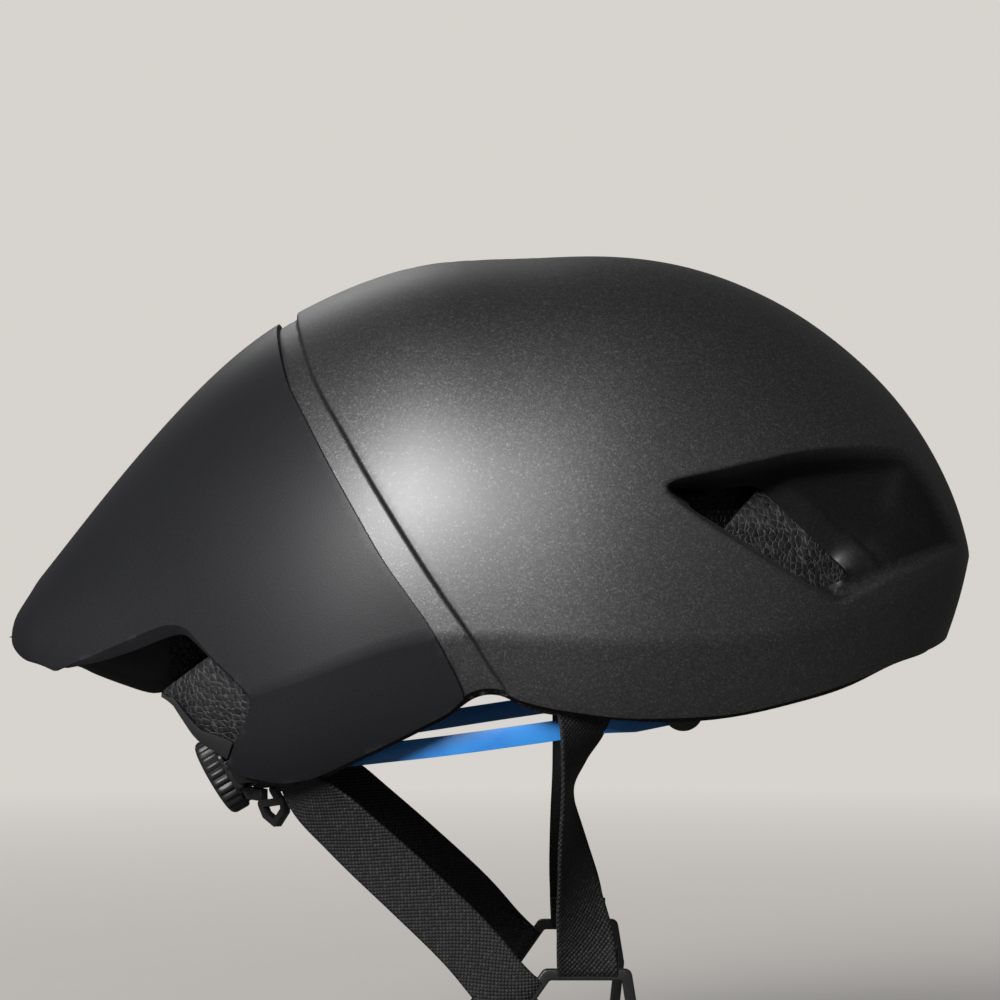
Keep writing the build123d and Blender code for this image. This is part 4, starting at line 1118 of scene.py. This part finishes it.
def closeTip(piece):
    mesh = bmesh.new()
    mesh.from_mesh(piece.data)
    near = [v for v in mesh.verts if v.co.x < tail["tipClosed"]]
    bmesh.ops.remove_doubles(mesh, verts=near, dist=0.0005)
    rim = [e for e in mesh.edges if e.is_boundary and all(v.co.x < tail["tipClosed"] for v in e.verts)]
    bmesh.ops.holes_fill(mesh, edges=rim, sides=60)
    mesh.to_mesh(piece.data)
    mesh.free()


tailFairing = makeTail()
seat(tailFairing, "helmet", "tail_fairing", "tail")
markEdges(tailFairing, [(seamEdge, False), (rimLine, False), (portLine, False)], 1.2)
print("tail fairing", len(tailFairing.data.polygons))


liner = {
    "long": 104.5,
    "broad": 83.5,
    "high": 112.0,
    "level": 10.0,
    "channelRadius": 6.5,
    "channels": (0.0, 27.0, 52.0),
    "channelEnds": (24.0, 152.0),
    "channelSteps": 44,
    # the scoop's duct is filled up to a pocket at its rear end, whose foam is painted nearly black as painted
    # shade
    "pocketPlace": 52.0,
    "pocketFloor": 65.3,
    "pocketSlope": 0.53,
    "pocketWall": 2.2,
    "pocketOuter": 97.0,
    "fillerUnder": 0.15,
    "underShell": 4.0,
    "pocket": [
        (40.0, 70.0), (47.0, 74.0), (58.0, 76.0), (67.5, 76.0), (69.9, 72.2), (63.7, 64.9), (56.3, 57.6),
        (50.0, 61.0), (43.5, 65.5),
    ],
    "filler": [(45.0, 56.4), (88.0, 56.4), (88.0, 71.6), (45.0, 71.6)],
    # what is cut from the foam above the tail's duct
    "notch": [(-132.0, -1.2), (-98.0, 24.7), (-98.0, 60.0), (-142.0, 60.0), (-142.0, -1.2)],
    "notchDepth": 43.0,
    "notchOuter": 115.0,
}
# the rear end's lower and upper edges as the solids have them and how far each is lifted, by place along x
nape = {
    "lowEdge": ((-126.9, -121.5, -112.0, -102.9, -99.4), (0.1, -5.9, -14.1, -19.7, -20.5)),
    "highEdge": ((-127.0, -121.5, -111.3, -100.0), (2.4, 0.1, -8.3, -11.9)),
    "lowLift": ((-127.0, -121.5, -112.0, -103.0, -99.5, -97.0), (4.0, 7.0, 4.9, 4.2, 2.7, 0.0)),
    "highLift": ((-127.0, -121.5, -111.0, -100.0, -97.0), (3.0, 4.0, 2.0, 1.8, 0.0)),
    "front": -97,
    "still": 18.0,
    "shorten": 3.5,
    "shortenFrom": -112,
    "shortenOver": 15,
}


def slimNape(piece):
    for vertex in piece.data.vertices:
        x, z = vertex.co.x / mm, vertex.co.z / mm
        if x > nape["front"] or z > nape["still"]:
            continue
        low, high, lowLift, highLift = [
            np.interp(x, *nape[key]) for key in ("lowEdge", "highEdge", "lowLift", "highLift")
        ]
        if z < high:
            share = between(0.0, (z - low) / (high - low), 1.0)
            lift = lowLift * (1 - share) + highLift * share
        else:
            lift = highLift * (nape["still"] - z) / (nape["still"] - high)
        back = between(0.0, (nape["shortenFrom"] - x) / nape["shortenOver"], 1.0)
        back *= min(1.0, (nape["still"] - z) / 8)
        vertex.co.z += lift * mm
        vertex.co.x += nape["shorten"] * back * mm


def tubeAlong(name, points, radii, sides=14):
    places = []
    for place, way, radius in zip(points, np.gradient(points, axis=0), radii):
        way = way / np.linalg.norm(way)
        across = np.cross(way, (0, 1, 0))
        across /= np.linalg.norm(across)
        up = np.cross(across, way)
        for k in range(sides):
            turn = 2 * math.pi * k / sides
            places.append((place + radius * (math.cos(turn) * across + math.sin(turn) * up)) * mm)
    tube = meshPiece(name, places, ringFaces(len(points), sides))
    reworkMesh(tube, outwards)
    return tube


def pieceName(nodeName):
    first, *rest = nodeName.split("_")
    return first + "".join(word.capitalize() for word in rest)


carried = {"merge": 0.000002, "flat": math.radians(0.6)}


# a carried solid's copy with its faces joined up
def mergedCopy(nodeName, name=None):
    piece = nodes[nodeName].copy()
    piece.data = nodes[nodeName].data.copy()
    piece.name = name or pieceName(nodeName)
    for key in list(piece.keys()):
        del piece[key]
    piece.parent = None
    piece.matrix_world.identity()
    bpy.context.scene.collection.objects.link(piece)
    joined = ("remove_doubles", {"threshold": carried["merge"]})
    reworkMesh(piece, joined, ("dissolve_limited", {"angle_limit": carried["flat"]}))
    return piece


def cutAway(piece, cutters, operation="DIFFERENCE"):
    for cutter in cutters:
        addModifier(piece, "BOOLEAN", operation=operation, solver="EXACT", object=cutter)
    applyModifiers(piece)
    for cutter in cutters:
        bpy.data.objects.remove(cutter)


# a block with this outline in the side view, between two faces given by place
def sideBlock(side, outline, outer, inner):
    corners = [(x, side * face(x, z), z) for face in (outer, inner) for x, z in outline]
    block = meshPiece("block", np.array(corners) * mm, ringFaces(2, len(outline)))
    reworkMesh(block, outwards)
    return block


def foamFace(x, z):
    return scoopFloor(x, z) - liner["underShell"]


def pocketDepth(x):
    return liner["pocketFloor"] - liner["pocketSlope"] * (x - liner["pocketPlace"])


def flatFace(distance):
    return lambda x, z: distance


# painted shade: marks the pocket's sunk foam faces to be painted nearly black
def markPaintedDuctShade(piece):
    outline = curveThrough(liner["pocket"], 1.5, closed=True)
    middles = np.array([tuple(face.center) for face in piece.data.polygons]) / mm
    side, fromMiddle = middles[:, [0, 2]], np.abs(middles[:, 1])
    d, _, _ = distanceTo(side, outline, closed=True)
    within = inside(side, outline) | (d < 0.6)
    sunk = fromMiddle < foamFace(side[:, 0], side[:, 1]) - 0.7
    outside = fromMiddle > pocketDepth(side[:, 0]) - 0.5
    markValues(piece, "ductShade", within & sunk & outside, "FACE")


def makeLiner():
    piece = mergedCopy("eps_liner", "foamLiner")
    cutters, fillers = [], []
    count = liner["channelSteps"]
    turns = np.radians(np.linspace(*liner["channelEnds"], count))
    radii = liner["channelRadius"] * np.clip(np.sin(np.linspace(0, math.pi, count)) * 3.0, 0.12, 1.0)
    for y in sorted({side * y for y in liner["channels"] for side in (-1, 1)}):
        shrink = math.sqrt(1 - (y / liner["broad"]) ** 2)
        x = liner["long"] * shrink * np.cos(turns)
        z = liner["level"] + liner["high"] * shrink * np.sin(turns)
        cutters.append(tubeAlong("channel", np.stack([x, np.full(count, y), z], axis=1), radii))
    pocket = curveThrough(liner["pocket"], 1.5, closed=True)
    for s in (-1, 1):
        face = lambda x, z: foamFace(x, z) - liner["fillerUnder"]
        back = lambda x, z: pocketDepth(x) - liner["pocketWall"]
        fillers.append(sideBlock(s, liner["filler"], face, back))
        cutters.append(sideBlock(s, pocket, flatFace(liner["pocketOuter"]), lambda x, z: pocketDepth(x)))
        face, back = flatFace(liner["notchOuter"]), flatFace(liner["notchDepth"])
        cutters.append(sideBlock(s, liner["notch"], face, back))
    cutAway(piece, fillers, "UNION")
    cutAway(piece, cutters)
    markPaintedDuctShade(piece)
    slimNape(piece)
    smoothByAngle(piece, 32)
    return piece


foamLiner = makeLiner()
seat(foamLiner, "helmet", "eps_liner", "foam")
markEdges(foamLiner, [(rimLine, False)], 4.5)
print("foam liner", len(foamLiner.data.polygons))


keel = {
    # place, lower edge's height, half width at the bottom
    "line": [
        (-176.0, 16.8, 1.2), (-170.5, 12.6, 2.4), (-165.1, 10.9, 3.4), (-157.9, 11.6, 4.2),
        (-150.9, 8.6, 4.6), (-141.8, 5.2, 5.0), (-132.7, 2.4, 5.2), (-128.0, 2.8, 5.2), (-122.0, 6.0, 5.0),
    ],
    "topClearance": 5.0,
    "topSpread": 0.78,
    "curl": 2.6,
    "rows": 26,
}


def makeKeel():
    line = curveThrough(keel["line"], 2.0)
    rings = []
    for x, low, half in line:
        _, crown, crease, _, wide, power = sectionAt(placeAt(x))
        top = crown - keel["topClearance"]
        reach = (top - crease) / (crown - crease)
        full = wide * (1 - max(reach, 0.05) ** power) ** (1 / power) * keel["topSpread"]
        ring = []
        for t in np.linspace(0, 1, keel["rows"]):
            reach = half * (1 - 0.25 * t) + max(full - half, 0.2) * t ** keel["curl"]
            if t < 0.12:
                reach *= math.sqrt(1 - (1 - t / 0.12) ** 2) * 0.999 + 0.001
            ring.append((x, reach, low + (top - low) * t))
        rings += [(a, -b, c) for a, b, c in ring] + ring[::-1]
    piece = meshPiece("tailKeel", np.array(rings) * mm, ringFaces(len(line), 2 * keel["rows"]))
    reworkMesh(piece, ("remove_doubles", {"threshold": 0.00002}), outwards)
    smoothByAngle(piece, 45)
    return piece


seat(makeKeel(), "helmet", "tail_fairing", "tail")
print("keel")


webbing = {
    "width": 19.5,
    "thickness": 1.5,
    "step": 1.3,
    "wave": 0.22,
    "barLevel": 73.0,
    "barRadius": 1.8,
    "tailLength": {"front": 8.5, "rear": 15.0, "chin": 15.0},
    # x, distance from the middle, height, turn towards the front, lean upwards
    "front": [
        (13.5, 86, 16, 2, 0), (13.4, 85.8, 5, 12, 0), (12.7, 85.4, -5, 42, 0), (10.0, 84.2, -15, 66, 0),
        (7.9, 83.0, -26, 80, 0), (9.0, 80.8, -41, 67, 0), (11.2, 77.8, -57, 46, 0), (13.9, 75.6, -74, 16, 0),
    ],
    "rear": [
        (-80, 64, -6, -58, 0), (-80, 64, -22, -58, 0), (-64, 66, -38, -28, 0), (-43, 69.2, -57, -10, 0),
        (-25, 72.2, -74, -3, 0), (-12.5, 75.0, -88.5, 0, 0),
    ],
    "chin": [
        (14.75, 75.2, -122.5, 4, -4), (18.5, 67, -128.5, 8, -28), (26, 56.5, -136.6, 4, -55),
        (34, 43, -142.8, 1, -80), (38, 30, -144, 0, -90), (38, 19, -144, 0, -90), (38, 8, -144, 0, -90),
    ],
    "bars": {
        "front": ((0.5, -82.5), (28.5, -82.5)),
        "rear": ((-15.0, -104.5), (0.5, -82.5)),
        "chin": ((29.0, -116.5), (0.5, -116.5)),
    },
    "leftEnd": (38, 21.7, -144, 0, -90),
    # half of a cross section: place across and height, as shares
    "across": [-1.0, -0.985, -0.93, -0.84, -0.6, -0.3, 0.0, 0.3, 0.6, 0.84, 0.93, 0.985, 1.0],
    "height": [0.12, 0.62, 1.0, 0.84, 0.88, 0.9, 0.9, 0.9, 0.88, 0.84, 1.0, 0.62, 0.12],
}


def facingWay(turn, lean):
    turn, lean = np.radians(turn), np.radians(lean)
    return np.stack([np.sin(turn) * np.cos(lean), -np.cos(turn) * np.cos(lean), np.sin(lean)], axis=1)


def unit(v):
    return v / np.maximum(np.linalg.norm(v, axis=-1, keepdims=True), 1e-9)


def strapPath(stations):
    line = curveThrough(np.array(stations, float) * (1, 1, 1, 0.25, 0.25), webbing["step"])
    return line[:, :3] * (1, -1, 1), facingWay(line[:, 3] * 4, line[:, 4] * 4)


# round the divider's bar and back along the strap
def foldPath(bar, comingWay, tailLength):
    (ax, az), (bx, bz) = bar
    middle = np.array([(ax + bx) / 2, -webbing["barLevel"], (az + bz) / 2])
    outward = np.array([0.0, -1.0, 0.0])
    radius = webbing["barRadius"] + webbing["thickness"] / 2 + 0.15
    places, faces = [], []
    for turn in np.radians(np.linspace(0, 180, 13)):
        way = math.cos(turn) * outward + math.sin(turn) * comingWay
        places.append(middle + radius * way)
        faces.append(way)
    for run in np.arange(1.5, tailLength, 1.5):
        settle = eased(min(1.0, run / 6.0))
        level = radius * (1 - settle) - (0.15 + 0.3 * webbing["thickness"]) * settle
        places.append(middle - comingWay * run - outward * level)
        faces.append(-outward)
    return np.array(places), np.array(faces)


def ribbonMesh(name, places, facings, seed):
    half, thick = webbing["width"] / 2, webbing["thickness"] / 2
    section = list(zip(webbing["across"], webbing["height"]))
    ways = unit(np.gradient(places, axis=0))
    widths = unit(np.cross(ways, facings))
    ups = np.cross(widths, ways)
    ups *= np.sign(np.sum(ups * facings, axis=1, keepdims=True))
    lengths = np.concatenate([[0], np.cumsum(np.linalg.norm(np.diff(places, axis=0), axis=1))])
    chance = random.Random(seed)
    phases = [chance.uniform(0, 6.28) for _ in range(4)]
    points, uvs = [], []
    for place, width, up, s in zip(places, widths, ups, lengths):
        calm = min(1.0, (lengths[-1] - s) / 30.0, s / 12.0)
        waves = math.sin(s / 9.0 + phases[0]) + 0.6 * math.sin(s / 4.3 + phases[1])
        ripple = webbing["wave"] * calm * waves
        cup = 0.28 * calm * math.sin(s / 31.0 + phases[2])
        for side, order in ((1, section), (-1, section[::-1])):
            for a, height in order:
                lift = side * thick * height + cup * (a * a - 0.4) + ripple * 0.35 * a
                points.append(place + width * half * a + up * lift)
                uvs.append((s * mm, (half * a + (0.5 if side < 0 else 0.0)) * mm))
    piece = meshPiece(name, np.array(points) * mm, ringFaces(len(places), 2 * len(section)))
    layer = piece.data.uv_layers.new(name="weave")
    for loop in piece.data.loops:
        layer.data[loop.index].uv = uvs[loop.vertex_index]
    reworkMesh(piece, outwards)
    smoothByAngle(piece, 50)
    return piece


def barWay(bar, fromPoint):
    (ax, az), (bx, bz) = bar
    along = unit(np.array([bx - ax, 0.0, bz - az]))
    way = np.array([along[2], 0.0, -along[0]])
    middle = np.array([(ax + bx) / 2, 0, (az + bz) / 2])
    if way @ (middle - np.array([fromPoint[0], 0, fromPoint[2]])) < 0:
        way = -way
    return way


def smoothJoin(places, facings, keep):
    for _ in range(6):
        for k in range(keep - 6, min(keep + 5, len(places) - 1)):
            places[k] = 0.5 * places[k] + 0.25 * (places[k - 1] + places[k + 1])
            facings[k] = unit(0.5 * facings[k] + 0.25 * (facings[k - 1] + facings[k + 1]))


def makeStrap(kind, left):
    stations = webbing[kind]
    if kind == "chin" and left:
        stations = stations[:-2] + [webbing["leftEnd"]]
    places, facings = strapPath(stations)
    if kind == "chin":
        places, facings = places[::-1], facings[::-1]
    bar = webbing["bars"][kind]
    foldPlaces, foldFaces = foldPath(bar, barWay(bar, places[-1]), webbing["tailLength"][kind])
    count = len(places)
    places, facings = np.vstack([places, foldPlaces]), np.vstack([facings, foldFaces])
    smoothJoin(places, facings, count)
    if left:
        places, facings = mirrored(places), mirrored(facings)
    side = "Left" if left else "Right"
    strap = ribbonMesh(kind + "Webbing" + side, places, facings, len(kind) + left)
    seat(strap, "helmet", f"{kind}_strap_{side.lower()}", "webbing")


for kind in ("front", "rear", "chin"):
    for left in (False, True):
        makeStrap(kind, left)
print("webbing")


# node, finish, rounding of its edges
mouldings = [
    ("rear_trim", "trim", 0.45),
    ("strap_divider_right", "fitting", 0.55), ("strap_divider_left", "fitting", 0.55),
    ("buckle_socket", "fitting", 0.6), ("buckle_plug", "fitting", 0.4), ("strap_keeper", "rubber", 0.3),
    ("buckle_prong_front", "fitting", 0.3), ("buckle_prong_rear", "fitting", 0.3),
    ("temple_anchor_right", "fitting", 0.4), ("temple_anchor_left", "fitting", 0.4),
    ("cradle_back", "fitting", 0.45), ("cradle_cover", "fitting", 0.3),
    ("headband_right", "band", 0.3), ("headband_left", "band", 0.3),
]


bandLine = np.array(
    [(-102.2, -22.0), (-91.0, -20.2), (-66.0, -16.2), (-25.0, -10.4), (0.0, -6.8), (42.0, 0.0)]
)


def slimBand(piece):
    for vertex in piece.data.vertices:
        x, z = vertex.co.x / mm, vertex.co.z / mm
        share = between(0.0, (x + 88) / 14, 1.0) * between(0.0, (30 - x) / 10, 1.0)
        level = np.interp(x, bandLine[:, 0], bandLine[:, 1])
        vertex.co.z += share * ((level - z) * 0.2 + 0.6) * mm


def makeMoulding(nodeName, finishName, rounding):
    piece = mergedCopy(nodeName)
    if finishName == "band":
        slimBand(piece)
    if finishName == "trim":
        slimNape(piece)
    bevelSharp(piece, math.radians(26), rounding, 0.5, splitWide=True)
    smoothByAngle(piece, 34)
    seat(piece, nodes[nodeName]["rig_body"], nodeName, finishName)


for moulding in mouldings:
    makeMoulding(*moulding)
print("mouldings")


knob = {
    "origin": (-108.2, 0.0, -25.5),
    "axis": (-0.862, 0.0, -0.507),
    "ribs": 26,
    "ribHeight": 0.85,
    # radius, height along the axis, share of the ribs
    "profile": [
        (3.0, -3.5, 0), (8.0, -3.5, 0), (11.6, -3.5, 0), (12.6, -3.45, 0.2), (13.0, -3.1, 0.7),
        (13.15, -2.5, 1), (13.15, -1.0, 1), (13.15, 0.8, 1), (13.1, 1.9, 1), (12.8, 2.7, 0.8),
        (12.2, 3.25, 0.4), (11.5, 3.48, 0.1), (10.9, 3.5, 0), (10.4, 3.4, 0), (10.0, 3.05, 0), (9.6, 2.5, 0),
        (9.0, 2.15, 0), (7.4, 2.05, 0), (5.4, 2.0, 0), (5.0, 2.1, 0), (4.6, 2.35, 0), (4.1, 2.4, 0),
        (3.9, 2.3, 0), (3.85, 1.9, 0), (2.0, 1.9, 0),
    ],
    "grips": 3,
    "gripDepth": 0.5,
    "gripFrom": 5.2,
    "gripTo": 9.5,
    "stepsPerRib": 10,
}


def makeKnob():
    origin, w = np.array(knob["origin"]), unit(np.array(knob["axis"]))
    a = np.array([0.0, 1.0, 0.0])
    b = np.cross(w, a)
    each = knob["stepsPerRib"]
    steps = knob["ribs"] * each
    places = []
    for radius, height, share in knob["profile"]:
        gripped = knob["gripFrom"] < radius < knob["gripTo"]
        for k in range(steps):
            turn = 2 * math.pi * k / steps
            rib = max(0.0, math.cos(((k % each) / each - 0.5) * 2 * math.pi) * 0.5 + 0.5) ** 0.55
            r = radius + knob["ribHeight"] * share * (rib - 0.45)
            sunk = knob["gripDepth"] * max(0.0, math.cos(knob["grips"] * turn)) ** 0.8 if gripped else 0
            places.append(origin + a * r * math.cos(turn) + b * r * math.sin(turn) + w * (height - sunk))
    piece = meshPiece("dialKnob", np.array(places) * mm, ringFaces(len(knob["profile"]), steps))
    reworkMesh(piece, outwards)
    smoothByAngle(piece, 48)
    seat(piece, "dial", "dial_knob", "knob")


makeKnob()
print("knob")


pads = {
    "voxel": 0.0014,
    "rounding": 2.6,
    "seamPlace": 3.4,
    "seamDepth": 0.8,
    "headCentre": (0.0, 0.0, 10.0),
    "headSize": (99.5, 78.5, 107.0),
    # the paired pads' outlines in the side view
    "pairs": {
        "temple_pad": [(2.0, 7.5), (34.0, 7.5), (37.0, 28.0), (-2.0, 28.0)],
        "nape_pad": [(-96.0, 40.0), (-70.0, 40.0), (-62.0, 66.0), (-90.0, 66.0)],
    },
}


# rounded at its edge, with a seam round it and quilting lines this far apart
def makePad(nodeName, quilt, outline=None):
    piece = mergedCopy(nodeName)
    addModifier(piece, "REMESH", mode="VOXEL", voxel_size=pads["voxel"])
    addModifier(piece, "SMOOTH", factor=0.6, iterations=7)
    applyModifiers(piece)
    places = vertexPlaces(piece)
    x, y, z = places.T
    normals = np.zeros(places.size)
    piece.data.vertices.foreach_get("normal", normals)
    inward = unit(unit(np.array(pads["headCentre"]) - places) / pads["headSize"])
    if nodeName == "crown_pad":
        d, along = np.minimum(48.0 - np.abs(x), 15.0 - np.abs(y)), x + 12.0
    elif nodeName == "brow_pad":
        d = np.minimum.reduce([z - 20.0, 44.0 - z, (x - 58.0) * 1.6])
        along = np.degrees(np.arctan2(y, x * 0.8)) * 1.45 + quilt / 2
    else:
        d, along = distanceTo(places[:, [0, 2]], outline, closed=True)[0], x
    d = np.maximum(d, 0)
    facing = np.clip((normals.reshape(-1, 3) * inward).sum(axis=1), 0, 1)
    groove = np.exp(-(((d - pads["seamPlace"]) / 0.6) ** 2)) * pads["seamDepth"]
    across = np.abs((along + quilt / 2) % quilt - quilt / 2)
    groove = np.maximum(groove, np.exp(-((across / 0.8) ** 2)) * 0.8 * (d > pads["seamPlace"]))
    push = pads["rounding"] * np.exp(-d / 2.2) + groove
    places = places - inward * (push * facing)[:, None]
    piece.data.vertices.foreach_set("co", (places * mm).ravel())
    piece.data.update()
    smoothByAngle(piece, 80)
    seat(piece, "helmet", nodeName, "fabric")


makePad("brow_pad", 17.0)
makePad("crown_pad", 24.0)
for kind, outline in pads["pairs"].items():
    for side in ("right", "left"):
        makePad(f"{kind}_{side}", 11.0, outline)


chinGuard = {
    "columns": 37,
    "rows": 53,
    "corner": 7.5,
    "seamPlace": 3.0,
    "quilt": 9.0,
    "leastHalf": 0.1,
}


def makeChinGuard():
    low, high = (np.array(corner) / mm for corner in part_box("chin_guard"))
    middle, (halfX, halfY, halfZ) = (low + high) / 2, (high - low) / 2
    corner, quilt = chinGuard["corner"], chinGuard["quilt"]
    wide, tall = chinGuard["columns"], chinGuard["rows"]

    def pastCorner(x, y):
        return max(abs(x) - (halfX - corner), 0), max(abs(y) - (halfY - corner), 0)

    places = []
    for v in np.linspace(-1, 1, tall):
        for u in np.linspace(-1, 1, wide):
            x, y = u * halfX, v * halfY
            ax, ay = pastCorner(x, y)
            if ax > 0 and ay > 0:
                shrink = max(ax, ay) / math.hypot(ax, ay)
                x = math.copysign(halfX - corner + ax * shrink, x)
                y = math.copysign(halfY - corner + ay * shrink, y)
            d = corner - math.hypot(*pastCorner(x, y))
            if d >= corner:
                d = min(d, halfX - abs(x), halfY - abs(y))
            d = max(d, 0.0)
            seam = 0.5 * math.exp(-(((d - chinGuard["seamPlace"]) / 0.5) ** 2))
            if d > chinGuard["seamPlace"]:
                seam = max(seam, 0.42 * math.exp(-((abs((y + 60) % quilt - quilt / 2) / 0.55) ** 2)))
            thick = halfZ * (1 - math.exp(-d / 1.2)) + 0.12
            places.append((x, y, max(thick - seam, chinGuard["leastHalf"])))
    places = np.vstack([middle + np.array(places) * (1, 1, face) for face in (1, -1)])
    near = np.arange(wide * tall).reshape(tall, wide)
    faces = []
    for layer in (near, near + near.size):
        quads = np.stack([layer[:-1, :-1], layer[:-1, 1:], layer[1:, 1:], layer[1:, :-1]], axis=-1)
        faces += list(quads.reshape(-1, 4))
    rim = np.concatenate([near[0], near[1:, -1], near[-1, -2::-1], near[-2:0:-1, 0]])
    faces += [(a, b, b + near.size, a + near.size) for a, b in zip(rim, np.roll(rim, -1))]
    piece = meshPiece("chinGuard", places * mm, faces)
    reworkMesh(piece, outwards)
    smoothByAngle(piece, 80)
    seat(piece, "helmet", "chin_guard", "fabric")


makeChinGuard()
print("pads")


stage = {
    "colour": (0.68, 0.655, 0.62),
    "floorBounce": (0.07, 0.068, 0.066),
    "glossShare": 0.07,
    "level": -0.158,
    "fadeStart": 0.45,
    "fadeEnd": 1.7,
    "worldFill": tuple(c * 0.045 for c in (0.92, 0.96, 1.0)),
}


# how far a ray shows the pale stage: fully to the camera, a little in what is glossy
def seenShare(finish):
    path = addNode(finish, "LightPath")
    clear = maths(finish, "ADD", path.outputs["Is Camera Ray"], path.outputs["Is Transmission Ray"])
    glossy = maths(finish, "MULTIPLY", path.outputs["Is Glossy Ray"], stage["glossShare"])
    return maths(finish, "MINIMUM", maths(finish, "ADD", clear, glossy), 1.0)


def makeStage():
    place = (0, 0, stage["level"])
    bpy.ops.mesh.primitive_circle_add(vertices=96, radius=4.0, fill_type="NGON", location=place)
    floor = bpy.context.object
    floor.name = "floor"
    finish = newFinish("floorFinish", stage["floorBounce"], Roughness=0.9)
    seen, place = seenShare(finish), objectPlace(finish)
    pale = scaled(finish, stage["colour"], spread(finish, noise(finish, place, 30, 4), 0.97, 1.03))
    intoShader(finish, Base_Color=mixed(finish, seen, stage["floorBounce"], pale))
    glow = addNode(finish, "Emission", {"Color": (*stage["colour"], 1), "Strength": 1.0})
    far = addNode(finish, "VectorMath", {0: place}, operation="LENGTH").outputs["Value"]
    fade = spread(finish, far, 0.32, 1.0, stage["fadeStart"], stage["fadeEnd"])
    tree = finish.node_tree
    shader = tree.nodes["Principled BSDF"].outputs[0]
    share = maths(finish, "MULTIPLY", fade, seen)
    both = addNode(finish, "MixShader", {0: share, 1: shader, 2: glow.outputs[0]})
    tree.links.new(both.outputs[0], tree.nodes["Material Output"].inputs["Surface"])
    floor.data.materials.append(finish)


def makeWorld():
    world = bpy.data.worlds.new("world")
    bpy.context.scene.world = world
    world.use_nodes = True
    background = world.node_tree.nodes["Background"]
    colour = mixed(world, seenShare(world), stage["worldFill"], stage["colour"])
    world.node_tree.links.new(colour, background.inputs["Color"])
    background.inputs["Strength"].default_value = 1.0


# the focal length is in pixels of the picture
camera = {
    "place": (-0.0136, -1.3, 0.068),
    "focalLength": 3822.0,
    "pictureWidth": 1000.0,
    "sensorWidth": 36.0,
}
# name, place, target, size, power
lights = [
    ("key", (-0.80, -1.50, 0.87), (0, 0, 0.05), 0.7, 49),
    ("fill", (0.9, -1.5, 0.5), (0, 0, 0.05), 1.2, 0.5),
    ("back", (-0.5, 1.4, 1.1), (0, 0, 0.08), 0.8, 4),
]


def makeCamera():
    data = bpy.data.cameras.new("camera")
    data.sensor_width = camera["sensorWidth"]
    data.lens = camera["focalLength"] * camera["sensorWidth"] / camera["pictureWidth"]
    eye = addToScene("camera", data)
    eye.location = camera["place"]
    eye.rotation_euler = (math.radians(90), 0, 0)
    bpy.context.scene.camera = eye


def areaLight(name, place, target, size, power):
    data = bpy.data.lights.new(name, "AREA")
    data.shape = "DISK"
    data.size = size
    data.energy = power
    lamp = addToScene(name, data)
    lamp.location = place
    lamp.rotation_euler = (Vector(target) - Vector(place)).to_track_quat("-Z", "Y").to_euler()


makeStage()
makeCamera()
for light in lights:
    areaLight(*light)
makeWorld()
bpy.context.scene.view_settings.view_transform = "Standard"
